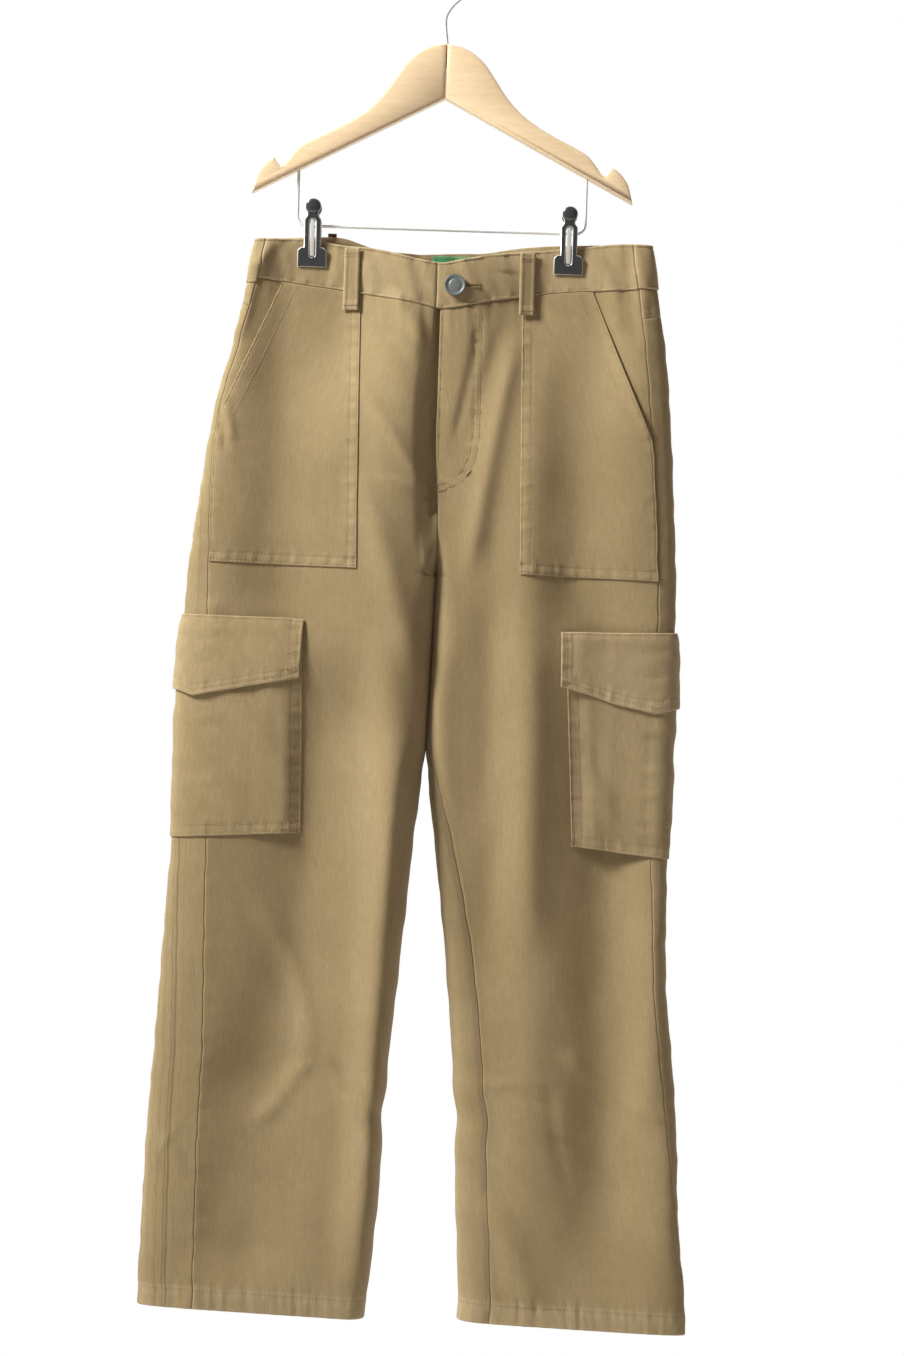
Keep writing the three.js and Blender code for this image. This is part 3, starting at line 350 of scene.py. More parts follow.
# Fine creases beside the main folds, written the same way.
creases = {
    "rightFront": [
        (-60, -344, -33, -6, -426, 6, 1.7), (-39, -419, -25, -10, -430, 4.5, 1.2),
        (-46, -300, -30, -12, -340, 6, -1.3), (-62, -884, -46, -24, -927, 5, -1.8),
        (-58, -908, -42, -23, -934, 4, 1.6), (-124, -766, -92, -88, -885, 9, 2.0),
        (-88, -885, -104, -120, -932, 8, 1.8), (-124, -226, -136, -145, -254, 4.5, 4.5),
        (-145, -248, -150, -156, -305, 5, 3.2), (-112, -230, -118, -120, -275, 7, -3.5),
        (-170, -352, -164, -160, -392, 3.5, 1.3), (-174, -366, -168, -166, -402, 3, -1.1),
        (-206, -924, -196, -184, -966, 5, 1.3), (-206, -966, -196, -186, -934, 4, 1.2),
        (-172, -520, -170, -171, -560, 8, 1.2),
    ],
    "leftFront": [
        (118, -230, 128, 140, -268, 6, 3.5), (152, -228, 150, 156, -300, 7, -3),
        (34, -240, 44, 56, -252, 5, 1.8), (60, -900, 70, 84, -893, 5, 1.3),
        (124, -872, 148, 196, -922, 7, 1.7), (116, -938, 150, 194, -985, 7, -1.0),
        (108, -902, 113, 124, -975, 6, -0.8), (44, -880, 60, 92, -912, 7, -1.1),
        (33, -297, 26, 16, -386, 5, -1.7), (62, -560, 60, 56, -700, 9, 1.4),
        (40, -930, 62, 84, -968, 6, 1.2), (62, -312, 44, 31, -481, 6, 1.5),
    ],
}

hangPlane = -9
seamGap = 0.06
restGap = 0.2
pinch = {
    "x": 102, "halfWidth": 16, "reach": 66, "innerReach": 92, "depth": 2, "footTop": -262, "footEnd": -420,
}
rise = {"crotch": -487, "frontTurn": -452, "backTurn": -402, "seatShift": 10.5, "waist": -240}
fly = {
    "foot": -430, "turn": -441, "sinkFoot": -452, "underlap": 9, "sink": 3.6, "sinkFrom": -9,
    "sinkNear": -3.2, "sinkTo": -1,
}
hems = {"right": (-1086.8, -1080.6), "left": (-1085.3, -1092.3)}  # the inner and the outer edge
yokeSeam = {"side": -283, "centre": -321, "level": -300}
edgeRound = 4.2
thighs = {
    "overlap": 1.0, "from": -430, "touching": -622, "apart": -655,
    "turn": 0.3, "turnTop": -500, "turnFoot": -600, "round": 2.4,
}
edges = {"notch": 2.2, "notchWidth": 12, "knee": -924, "wander": 0.5, "wavelength": 46}
bandHeight = 35.5

sides = {
    "right": {"name": "right", "sign": -1, "outer": "rightOuter", "inner": "rightInner"},
    "left": {"name": "left", "sign": 1, "outer": "leftOuter", "inner": "leftInner"},
}


# Smooth curve through one column of a table.
def along(rows, column, value, by="z"):
    keys, heights = rows[by].astype(float), rows[column].astype(float)
    if keys[0] > keys[-1]:
        keys, heights = keys[::-1], heights[::-1]
    v = np.clip(value, keys[0], keys[-1])
    i = np.clip(np.searchsorted(keys, v, side="right") - 1, 0, len(keys) - 2)
    slopes = np.empty_like(heights)
    slopes[1:-1] = (heights[2:] - heights[:-2]) / (keys[2:] - keys[:-2])
    slopes[0] = (heights[1] - heights[0]) / (keys[1] - keys[0])
    slopes[-1] = (heights[-1] - heights[-2]) / (keys[-1] - keys[-2])
    step = keys[i + 1] - keys[i]
    t = (v - keys[i]) / step
    return ((2 * t**3 - 3 * t**2 + 1) * heights[i] + (t**3 - 2 * t**2 + t) * step * slopes[i]
            + (3 * t**2 - 2 * t**3) * heights[i + 1] + (t**3 - t**2) * step * slopes[i + 1])


def mix(a, b, t):
    return a + (b - a) * t


def smooth(start, end, v):
    t = np.clip((v - start) / (end - start), 0, 1)
    return t * t * (3 - 2 * t)


def bell(off, width):
    return np.exp(-(off / width) ** 2)


def foldAt(rows, face, x, z):
    total = np.zeros(np.broadcast(x, z).shape)
    for fromX, fromZ, midX, toX, toZ, width, height in rows.get(face, ()):
        t = (z - fromZ) / (toZ - fromZ)
        bow = midX - (fromX + toX) / 2
        centre = mix(fromX, toX, t) + 4 * bow * t * (1 - t)
        slope = (toX - fromX + 4 * bow * (1 - 2 * t)) / (toZ - fromZ)
        ridge = height * bell((x - centre) / np.hypot(1, slope), width)
        total = total + ridge * smooth(-0.15, 0.15, t) * smooth(1.15, 0.85, t)
    return total


def ripple(t, seed):  # uneven, between about -1 and 1, with t in wavelengths
    turn = 2 * math.pi * t
    return (np.sin(turn + seed) * 0.5 + np.sin(turn * 0.618 + 2.1 * seed) * 0.32
            + np.sin(turn * 1.73 + 3.7 * seed) * 0.28)


# The thighs press together below the crotch, and both edges of a leg wander a little.
def innerX(side, front, z):
    apart = along(sections, "leftInner", z) - along(sections, "rightInner", z)
    overlap = thighs["overlap"] * smooth(rise["frontTurn"], rise["crotch"], z)
    press = smooth(thighs["apart"], thighs["touching"], z) * smooth(thighs["from"], rise["frontTurn"], z)
    press = press * (apart + overlap) / 2
    wander = edges["notch"] * bell(z - edges["knee"], edges["notchWidth"])
    wander = wander + edges["wander"] * ripple(z / edges["wavelength"], 2.6)
    wander = wander * smooth(thighs["touching"], thighs["apart"], z)
    shift = rise["seatShift"] * np.clip((z - rise["crotch"]) / (rise["waist"] - rise["crotch"]), 0, 1)
    return along(sections, side["inner"], z) + np.where(front, 0, shift) + side["sign"] * (wander - press)


def outerX(side, z):
    wander = side["sign"] * edges["wander"] * smooth(-268, -290, z) * ripple(z / 31, 0.7)
    return along(sections, side["outer"], z) + wander


def widthAt(side, z):
    return np.abs(outerX(side, z) - innerX(side, True, z))


def sideSeamQ(side, z):
    return 1 - along(seams, side["name"] + "Side", z) / widthAt(side, z)


def inseamQ(side, z):
    return along(seams, side["name"] + "Inseam", z) / widthAt(side, z)


def qAt(side, front, x, z):  # the q of a place on one face
    centre = innerX(side, front, z)
    share = (x - centre) / (outerX(side, z) - centre)
    return share if front else 2 - share


def upright(side, front, x):
    return lambda z: qAt(side, front, x + 0 * z, z)


def levelLine(height):
    return lambda x, front: height + 0 * x


def slanted(inner, outer, ends):  # a line that goes from one height to the other between two x
    return lambda x, front: mix(*ends, np.clip((x - inner) / (outer - inner), 0, 1))


def hemLine(side):
    foot = sections["z"][-1]
    inner, outer = along(sections, side["inner"], foot), along(sections, side["outer"], foot)
    return slanted(inner, outer, hems[side["name"]])


def frontSeam(x, front=True):
    return along(waist, "frontSeam", x, "x")


def frontTop(x, front=True):
    return along(waist, "frontTop", x, "x")


def backTop(x, front=False):
    return along(waist, "backTop", x, "x")


def backSeam(x, front=False):
    return backTop(x) - bandHeight


def yokeLine(side):
    at = yokeSeam["level"]
    return slanted(float(innerX(side, False, at)), float(along(sections, side["outer"], at)),
                   (yokeSeam["centre"], yokeSeam["side"]))


def above(line):
    return lambda x, front: line(x, front) + seamGap / 2


def below(line):
    return lambda x, front: line(x, front) - seamGap / 2


# What sewing and washing leave in the cloth: ripples in the band, gathers under it, roped hems
# and puckered seams, as heights in millimetres and lengths along the cloth.
washed = {
    "band": 1.0, "bandPitch": 27, "gathers": 0.5, "gatherPitch": 13, "gatherReach": 38,
    "hem": 0.55, "hemPitch": 12, "seam": 0.5, "seamPitch": 17, "seamReach": 8, "drift": 0.7,
}


def relief(side, front, q, x, z):
    seed = 1.3 if front else 3.5
    under = (frontSeam(x) if front else backSeam(x)) - z
    onBand = smooth(-1, -4, under)
    total = washed["band"] * onBand * ripple(x / washed["bandPitch"] + z / 90, seed)
    total = total + washed["gathers"] * smooth(washed["gatherReach"], 0, under) * (1 - onBand) * ripple(
        x / washed["gatherPitch"] + 0.006 * z, seed + 0.7)
    up = z - hemLine(side)(x, front)
    roped = ripple(x / washed["hemPitch"] + 0.4 * ripple(x / 71, seed) + 0.004 * up, seed)
    total = total + washed["hem"] * smooth(30, 15, up) * roped * (0.7 + 0.3 * ripple(x / 47, seed))
    beside = bell((q - sideSeamQ(side, z)) * widthAt(side, z), washed["seamReach"])
    total = total + washed["seam"] * beside * ripple(z / washed["seamPitch"], seed)
    return total + washed["drift"] * ripple(x / 61 + z / 410, seed) * ripple(z / 137 - x / 260, seed + 1)


# A point of the cloth's outer face. q goes round one side: 0 at the inner edge of the front, 1 at
# the outer edge, 2 at the inner edge of the back. A leg's ring closes on itself.
def skin(side, q, z):
    onLeg = z <= rise["crotch"]
    turn = np.where(onLeg & (q < 0), q + 2, np.where(onLeg & (q > 2), q - 2, q))
    front = turn < 1
    u = np.where(front, turn, 2 - turn)
    x = mix(innerX(side, front, z), outerX(side, z), u)
    outerTurn = (1 - np.clip(u, 0, 1) ** edgeRound) ** (1 / edgeRound)
    start = np.where(front, rise["frontTurn"], rise["backTurn"])
    closing = np.clip((start - z) / (start - rise["crotch"]), 0, 1) ** thighs["round"]
    turnWidth = mix(1, thighs["turn"], smooth(thighs["turnTop"], thighs["turnFoot"], z))
    corner = np.clip(1 - np.maximum(u, 0) / (along(sections, "round", z) * turnWidth), 0, 1)
    innerTurn = (1 - closing * corner ** thighs["round"]) ** (1 / thighs["round"])
    loose = np.where(front, along(sections, "front", z), along(sections, "back", z))
    reach = np.where(np.abs(x) < pinch["x"], pinch["innerReach"], pinch["reach"])
    held = (smooth(reach, pinch["halfWidth"], np.abs(np.abs(x) - pinch["x"]))
            * smooth(pinch["footEnd"], pinch["footTop"], z))
    heights = [foldAt(folds, side["name"] + face, x, z) + foldAt(creases, side["name"] + face, x, z)
               for face in ("Front", "Back")]
    besideFly = smooth(0, 20, np.abs(x - innerX(side, front, z)))
    fold = np.where(front, *heights) * (1 - held**2)
    fold = fold * mix(1, besideFly, smooth(rise["crotch"], rise["frontTurn"], z))
    fine = np.where(front, relief(side, True, q, x, z), relief(side, False, q, x, z)) * (1 - 0.85 * held)
    depth = mix(loose * outerTurn, np.minimum(pinch["depth"], loose * outerTurn), held) * innerTurn
    depth = depth + (fold + fine) * outerTurn * innerTurn
    if side["name"] == "right":
        near = mix(fly["sinkNear"], fly["sinkFrom"], smooth(-300, -355, z) * smooth(-436, -410, z))
        sink = smooth(near, fly["sinkTo"], x) * smooth(fly["sinkFoot"], fly["turn"], z)
        depth = depth - np.where(front, fly["sink"] * sink, 0)
    return np.stack([x, hangPlane + np.where(front, -depth, depth), z], -1)


def skinNormal(side, q, z):
    dq, dz = 0.5 / widthAt(side, z), 0.5
    across = skin(side, q + dq, z) - skin(side, q - dq, z)
    up = skin(side, q, z + dz) - skin(side, q, z - dz)
    normal = np.cross(across, up) * side["sign"]
    return normal / np.linalg.norm(normal, axis=-1, keepdims=True)


plainEdge = (0.35, 0.8, 1.4, 2.2)
sewnEdge = (0.35, 0.8, 1.2, 1.6, 2.1, 2.8, 3.8, 5.2, 6.4, 7.2, 7.8, 8.4, 9.2, 10.6)
pocketNear = (sewnEdge, sewnEdge, plainEdge, sewnEdge)


# Shares of a length, closer together near its two ends.
def shares(count, length, head, tail):
    first = np.array([0, *head])
    last = length - np.array([0, *tail])[::-1]
    return np.concatenate([first, np.linspace(first[-1], last[0], count)[1:-1], last]) / length


def runAlong(points, axis=0):  # distance from the first point, one way along a line or a grid
    steps = np.linalg.norm(np.diff(points, axis=axis), axis=-1)
    return np.cumsum(np.insert(steps, 0, 0, axis=axis), axis=axis)


def evened(lengths, reach):  # each row's length averaged with its neighbours'
    total = np.cumsum(np.concatenate([[0], np.pad(lengths, reach, mode="edge")]))
    return (total[2 * reach + 1:] - total[:-2 * reach - 1]) / (2 * reach + 1)


# Rows of points on the cloth between two edges, each a q for a level, and two lines, each a z for
# an x. Columns are spread evenly along the cloth, so they follow its folds, and closer together
# where it turns over a leg's edge. near holds the first distances from its four edges.
def clothPatch(side, start, end, top, foot, columns, rows, trims=(seamGap / 2, seamGap / 2),
               near=(plainEdge,) * 4):
    def settle(line, q, z):
        for _ in range(4):
            x = skin(side, q(z), z)[..., 0]
            z = line(x, q(z) < 1)
        return z

    middle = lambda z: mix(start(z), end(z), 0.5)
    high = float(settle(top, middle, np.array([-300.0]))[0])
    low = float(settle(foot, middle, np.array([high]))[0])
    down = shares(rows, high - low, near[2], near[3])
    level = mix(high, low, down)[:, None]
    a, b = start(level), end(level)
    closeBy = (np.arange(1, 15) / 14) ** edgeRound * 0.07
    turns = np.concatenate([way * closeBy + corner for corner in (0, 1, 2) for way in (-1, 1)])
    probe = np.concatenate([mix(a, b, np.linspace(0, 1, 161)[None, :]), np.clip(
        np.broadcast_to(turns, (len(level), len(turns))), np.minimum(a, b), np.maximum(a, b))], axis=1)
    probe = np.sort(probe, axis=1)
    if a[0, 0] > b[0, 0]:
        probe = probe[:, ::-1]
    run = runAlong(skin(side, probe, np.broadcast_to(level, probe.shape)), 1)
    across = shares(columns, float(run[:, -1].mean()), near[0], near[1])
    whole = evened(run[:, -1], 10)
    target = mix(trims[0], whole[:, None] - trims[1], across)
    target = target + (run[:, -1] - whole)[:, None] * smooth(0.75, 1, across)
    found = np.stack([np.interp(at, r, p) for at, r, p in zip(target, run, probe)])
    share = (found - a) / (b - a)
    t = np.broadcast_to(down[:, None], share.shape)
    z = np.broadcast_to(level, share.shape)
    for _ in range(5):
        q = mix(start(z), end(z), share)
        x = skin(side, q, z)[..., 0]
        z = mix(top(x, q < 1), foot(x, q < 1), t)
    q = mix(start(z), end(z), share)
    return {"points": skin(side, q, z), "normals": skinNormal(side, q, z)}


# Distances along the cloth from each of a patch's edges.
def measured(patch):
    across, down = runAlong(patch["points"], 1), runAlong(patch["points"])
    return {"start": across, "end": across[:, -1:] - across, "top": down, "foot": down[-1:] - down}


def makePiece(name, points, faces, finish, cloth=None, wearAndPaintedLight=None):
    mesh = bpy.data.meshes.new(name)
    mesh.from_pydata((points * metre).tolist(), [], faces.tolist())
    mesh.polygons.foreach_set("use_smooth", np.ones(len(mesh.polygons), dtype=bool))
    if cloth is not None:
        corner = np.empty(len(mesh.loops), dtype=np.int32)
        mesh.loops.foreach_get("vertex_index", corner)
        mesh.uv_layers.new(name="cloth").data.foreach_set("uv", (cloth[corner] * metre).ravel())
        mesh.attributes.new("wearAndPaintedLight", "FLOAT", "POINT").data.foreach_set("value", wearAndPaintedLight.astype(np.float32))
    mesh.materials.append(finishes[finish])
    mesh.update()
    piece = added(name, mesh)
    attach(piece, "root")
    return piece


def wallFaces(rows, columns):
    i = (np.arange(rows - 1)[:, None] * columns + np.arange(columns - 1)[None, :]).ravel()
    outside = np.stack([i, i + columns, i + columns + 1, i + 1], -1)
    ring = np.concatenate([
        np.arange(columns), np.arange(1, rows) * columns + columns - 1,
        (rows - 1) * columns + np.arange(columns - 2, -1, -1), np.arange(rows - 2, 0, -1) * columns])
    after = np.roll(ring, -1)
    inward = rows * columns
    return np.concatenate([outside, outside[:, ::-1] + inward,
                           np.stack([ring, after, after + inward, ring + inward], -1)])


def turnedOut(points, faces):
    a, b, c, d = (points[faces[:, k]] for k in range(4))
    held = np.einsum("ij,ij->i", a, np.cross(b, c)).sum() + np.einsum("ij,ij->i", a, np.cross(c, d)).sum()
    return faces[:, ::-1] if held < 0 else faces


clothPieces = {}
sewn = {
    "press": 0.26, "pressWidth": 0.6, "pitch": 11.5, "swellAt": 1.5, "swellWidth": 5, "worn": 0.10,
    "crestWearAndHighlight": 0.16, "shadow": 0.20, "shadowWidth": 0.7, "rim": 1.5, "rimTrim": 0.42, "rubbedAndLitWidth": 1.9,
    "rubbedAndLitPitch": 19,
}


# One piece of cloth as a closed wall: lift is its inner face's distance from the body of cloth.
# Its edges are rounded and made paler, partly from wear and partly as a painted highlight. Its stitch rows,
# as (edge, distance), are pressed in and darkened with painted shade, and the cloth between and beside them
# is puckered, with crests made paler from wear and a painted highlight.
def clothPiece(name, patch, lift, wall, rows=(), extra=0.0, wearAndPaintedLight=0.0, finish="twill",
               hung=("clip_right_front", "clip_left_front"), pucker=0.34, rubbedAndLit=0.38):
    size = measured(patch)
    p, n = patch["points"], patch["normals"]
    lengthwise = {edge: size["top" if edge in ("start", "end") else "start"] for edge in size}
    full = np.ones(p.shape[:2])
    for edge in size:
        near = np.clip(size[edge] / np.minimum(sewn["rim"], wall), 0, 1)
        full = full * np.sqrt(1 - (1 - near) ** 2)
    press, shade = np.zeros(p.shape[:2]), np.zeros(p.shape[:2]) + wearAndPaintedLight
    for k, (edge, distance) in enumerate(rows):
        away = size[edge] - distance
        wave = ripple(lengthwise[edge] / sewn["pitch"], 0.9 + k // 2)
        swell = bell(away + sewn["swellAt"], sewn["swellWidth"])
        press = press + sewn["press"] * bell(away, sewn["pressWidth"])
        press = press - pucker * wave * swell * smooth(0, 2, size[edge])
        # Pucker crests are made paler, from wear and a painted highlight, and the pressed row gets painted
        # shade.
        shade = shade + (sewn["worn"] + sewn["crestWearAndHighlight"] * wave) * swell
        shade = shade - sewn["shadow"] * bell(away, sewn["shadowWidth"])
    # Edges are made paler: rubbing, plus a painted highlight where the cloth rounds over them.
    if finish == "twill":
        for edge in size:
            uneven = 0.75 + 0.25 * ripple(lengthwise[edge] / sewn["rubbedAndLitPitch"], 4.1)
            shade = shade + rubbedAndLit * bell(size[edge], sewn["rubbedAndLitWidth"]) * uneven
    trim = sewn["rimTrim"] * np.asarray(wall) * (1 - full)
    outer = lift + wall + extra - trim - press * full
    inner = lift + extra + trim
    count, across = p.shape[:2]
    points = np.concatenate([(p + n * np.broadcast_to(o, full.shape)[..., None]).reshape(-1, 3)
                             for o in (outer, inner)])
    faces = turnedOut(points, wallFaces(count, across))
    flatPlan = np.stack([size["start"], -size["top"]], -1).reshape(-1, 2)
    shade = np.broadcast_to(shade, full.shape).ravel()
    piece = makePiece(name, points, faces, finish, np.tile(flatPlan, (2, 1)), np.tile(shade, 2))
    d1, d2 = p[1:, 1:] - p[:-1, :-1], p[1:, :-1] - p[:-1, 1:]
    area = 0.5 * np.linalg.norm(np.cross(d1, d2), axis=-1).sum()
    wide, tall = float(size["start"][:, -1].max()), float(size["top"][-1].max())
    clothPieces[name] = {
        "piece": piece, "size": size, "normals": n, "hung": hung, "flat": (wide, tall),
        "area": float(min(area, wide * tall)), "face": points[: count * across].reshape(count, across, 3)}
    return piece


threads = {}


# Stitches along a line on the cloth: small capsules, or a satin row across the line.
def stitch(owner, line, normals, pitch=3.1, length=2.2, radius=0.3, across=False, finish="thread"):
    run = runAlong(line)
    count = int(run[-1] / pitch)
    if count < 1:
        return
    at = (np.arange(count) + 0.5) * run[-1] / count
    at = at + chance.uniform(-0.04, 0.04, count) * pitch
    take = lambda values, where: np.stack([np.interp(where, run, values[:, k]) for k in range(3)], -1)
    unit = lambda v: v / np.linalg.norm(v, axis=-1, keepdims=True)
    place, up = take(line, at), unit(take(normals, at))
    ahead = unit(take(line, np.minimum(at + 0.4, run[-1])) - take(line, np.maximum(at - 0.4, 0)))
    aside = unit(np.cross(up, ahead))
    lay, wide = (aside, ahead) if across else (ahead, aside)
    angle = np.arange(5) * 2 * math.pi / 5
    ringRow = [(e * 0.34 * length, radius * math.cos(t), radius * (0.75 * math.sin(t) + 0.2))
               for e in (-1, 1) for t in angle]
    shape = np.array([(-0.5 * length, 0, -0.1), *ringRow, (0.5 * length, 0, -0.1)])
    points = (place[:, None] + shape[None, :, :1] * lay[:, None] + shape[None, :, 1:2] * wide[:, None]
              + shape[None, :, 2:] * up[:, None])
    pairs = [(k, (k + 1) % 5) for k in range(5)]
    faces = np.array([(0, 1 + after, 1 + k) for k, after in pairs]
                     + [(1 + k, 1 + after, 6 + after) for k, after in pairs]
                     + [(1 + k, 6 + after, 6 + k) for k, after in pairs]
                     + [(11, 6 + k, 6 + after) for k, after in pairs])
    if np.linalg.det(np.stack([lay[0], wide[0], up[0]])) <= 0:
        faces = faces[:, ::-1]
    faces = (faces[None] + np.arange(count)[:, None, None] * len(shape)).reshape(-1, 3)
    threads.setdefault((owner, finish), []).append((points.reshape(-1, 3), faces))


# The line on a piece that keeps its distance from one edge, shortened at its two ends.
def rowOn(name, edge, distance, cuts=(0, 0)):
    cloth = clothPieces[name]
    face, normals, away = cloth["face"], cloth["normals"], cloth["size"][edge]
    if edge in ("top", "foot"):
        face, normals, away = face.transpose(1, 0, 2), normals.transpose(1, 0, 2), away.T
    if edge in ("end", "foot"):
        face, normals, away = face[:, ::-1], normals[:, ::-1], away[:, ::-1]
    line, up = (np.stack([[np.interp(distance, a, g[:, k]) for k in range(3)] for a, g in zip(away, grid)])
                for grid in (face, normals))
    run = runAlong(line)
    keep = (run >= cuts[0]) & (run <= run[-1] - cuts[1])
    return line[keep], up[keep]


def rowsAt(edges, distances):
    return [(edge, distance) for edge in edges for distance in distances]


def sewRows(name, rows):
    for edge, distance in rows:
        stitch(name, *rowOn(name, edge, distance, (distance, distance)))


# A line through places given as (x, z) on one face of the cloth.
def lineOn(side, front, places, lift):
    places = np.array(places, dtype=float)
    run = runAlong(places)
    at = np.linspace(0, run[-1], max(int(run[-1] / 1.5), 4))
    x, z = (np.interp(at, run, places[:, k]) for k in (0, 1))
    q = qAt(side, front, x, z)
    normals = skinNormal(side, q, z)
    return skin(side, q, z) + normals * lift, normals


def tack(owner, side, places, lift):  # a bar tack on the front
    stitch(owner, *lineOn(side, True, places, lift), pitch=0.62, length=2.3, across=True)


print("cloth surface ready")

panels = {
    "wall": 1.4, "hemWall": 2.2, "hemHeight": 17, "frontColumns": 104, "backColumns": 84,
    "frontRows": 250, "backRows": 190, "hemStitch": 15.5, "allowance": 8.6, "puckerPitch": 9.5,
}


def flyEnd(side, z):
    if side["name"] == "left":
        return np.zeros(np.shape(z))
    return -fly["underlap"] * smooth(fly["turn"], fly["foot"], z) / widthAt(side, z)


def frontEnd(side):
    return lambda z: np.where(z <= rise["crotch"], inseamQ(side, z), flyEnd(side, z))


def backEnd(side):
    return lambda z: np.where(z <= rise["crotch"], 2 + inseamQ(side, z), 2.0)


def sideSeam(side):
    return lambda z: sideSeamQ(side, z)


# A doubled hem is thicker, and paler at its fold and above its stitching. lines are the rows of stitches on
# the panel's face, darkened with painted shade along their grooves and lightened with a painted highlight
# on the puckers beside them.
def makePanel(name, side, end, top, columns, rows, lines=()):
    fine = (0.35, 0.8, 1.4, *np.arange(2.2, 40, 1.1))
    near = [fine if "back" in name else plainEdge, fine if lines else plainEdge, plainEdge,
            (0.4, 0.9, 1.5, 2.4, *np.arange(4, 30, 1.6))]
    patch = clothPatch(side, sideSeam(side), end, below(top), hemLine(side), columns, rows, near=near)
    away, down = measured(patch), patch["points"][..., 2] / panels["puckerPitch"]
    hem = smooth(panels["hemHeight"] + 1.5, panels["hemHeight"], away["foot"])
    wall = panels["wall"] + (panels["hemWall"] - panels["wall"]) * hem
    shade = 0.22 * hem + 0.25 * smooth(3, 0, away["foot"])
    sunk = 0.0
    for line in lines:
        off, wave = awayFrom(line, patch["points"]), ripple(down, 1.9)
        # Painted shade along the stitch groove, and a painted highlight on the puckers beside it.
        sunk = sunk - 0.3 * bell(off, 1.0) + 0.28 * wave * bell(off, 4)
        shade = shade - 0.28 * bell(off, 0.9) + (0.08 + 0.14 * wave) * bell(off, 3.5)
    if "back" in name:  # the seam allowance shows through as puckers
        # The allowance's puckers are made paler where they bulge: wear, plus a painted highlight.
        wave = np.maximum(ripple(down, 3.3), 0) * bell(away["start"] - panels["allowance"], 2.6)
        sunk, shade = 0.34 * wave, shade + 0.2 * wave
    shade = shade + 0.16 * bell(away["foot"] - panels["hemHeight"] - 0.6, 1.3)
    hemRow = ("foot", panels["hemStitch"])
    clothPiece(name, patch, -wall, wall, [hemRow], extra=sunk, wearAndPaintedLight=shade, rubbedAndLit=0.1)
    stitch(name, *rowOn(name, *hemRow))


# The fly's curved stitching on the upper lap.
flyStitch = {
    "curve": [(34, -286), (34.6, -330), (35.4, -384), (33.2, -401), (28, -414), (21.5, -421), (13.8, -425),
              (6, -427.5)],
    "inner": 5.2, "rise": 0.55, "edge": [(3.2, -290), (3.0, -350), (3.2, -413), (4.4, -440)],
}
flyRows = [[(x - shift, z + shift * flyStitch["rise"]) for x, z in flyStitch["curve"]]
           for shift in (0, flyStitch["inner"])] + [flyStitch["edge"]]


def awayFrom(line, points):  # distance in x and z from a line of places
    best = np.full(points.shape[:2], 1e3)
    for (ax, az), (bx, bz) in zip(line, line[1:]):
        fromX, fromZ, stepX, stepZ = points[..., 0] - ax, points[..., 2] - az, bx - ax, bz - az
        t = np.clip((fromX * stepX + fromZ * stepZ) / (stepX**2 + stepZ**2), 0, 1)
        best = np.minimum(best, np.hypot(fromX - t * stepX, fromZ - t * stepZ))
    return best


for side in sides.values():
    makePanel("cloth_front_" + side["name"], side, frontEnd(side), frontSeam,
              panels["frontColumns"], panels["frontRows"], flyRows if side["name"] == "left" else ())
    makePanel("cloth_back_" + side["name"], side, backEnd(side), yokeLine(side),
              panels["backColumns"], panels["backRows"])
    name = "cloth_yoke_" + side["name"]
    patch = clothPatch(side, sideSeam(side), backEnd(side), below(backSeam), above(yokeLine(side)), 84, 22)
    rows = rowsAt(["foot"], (1.8, 7.4))
    clothPiece(name, patch, -panels["wall"], panels["wall"], rows)
    sewRows(name, rows)
print("leg panels and yokes made")

band = {
    "wall": 2.2, "proud": 0.5, "overlap": 3.5, "underlap": 27, "puff": 1.5, "rope": 0.6, "ropeAt": 1.1,
    "ropeWidth": 1.2,
}
bandNear = ((0.4, 0.9, 1.4, 1.8, 2.2, 2.7, 3.4),) * 2
bandRows = rowsAt(("top", "foot"), [2.2])
bandFace = band["proud"] + band["puff"]


# The wearer's left end laps over the right one, which goes on behind it.
def makeBand(name, patch):
    away = measured(patch)
    share = away["top"] / (away["top"] + away["foot"])
    puffed = band["puff"] * 4 * share * (1 - share) * (1 + 0.35 * ripple(away["start"] / 53, 2.2))
    ropes = (bell(away[edge] - band["ropeAt"], band["ropeWidth"]) for edge in ("foot", "top"))
    rope = band["rope"] * sum(ropes)
    if "front" in name:  # the jaws hold it flat
        flat = smooth(12, 22, np.abs(np.abs(patch["points"][..., 0]) - pinch["x"]))
        puffed, rope = puffed * flat, rope * flat
    clothPiece(name, patch, band["proud"] - band["wall"], band["wall"], bandRows, extra=puffed + rope,
               pucker=0.36, wearAndPaintedLight=0.2, rubbedAndLit=0.4)
    sewRows(name, bandRows)


def bandPatch(side, end, top, foot, columns, near):
    return clothPatch(side, sideSeam(side), end, top, above(foot), columns, 20, trims=(seamGap / 2, 0),
                      near=(plainEdge, near, *bandNear))


for side, lap in ((sides["right"], band["underlap"]), (sides["left"], band["overlap"])):
    makeBand("cloth_waistband_front_" + side["name"],
             bandPatch(side, lambda z: -lap / widthAt(side, z), frontTop, frontSeam, 120, plainEdge))
halves = [bandPatch(side, lambda z: np.full(np.shape(z), 2.0), backTop, backSeam, 100, ())
          for side in sides.values()]
makeBand("cloth_waistband_back", {
    key: np.concatenate([halves[0][key][:, :-1], halves[1][key][:, ::-1]], axis=1) for key in halves[0]})
print("waistband made")

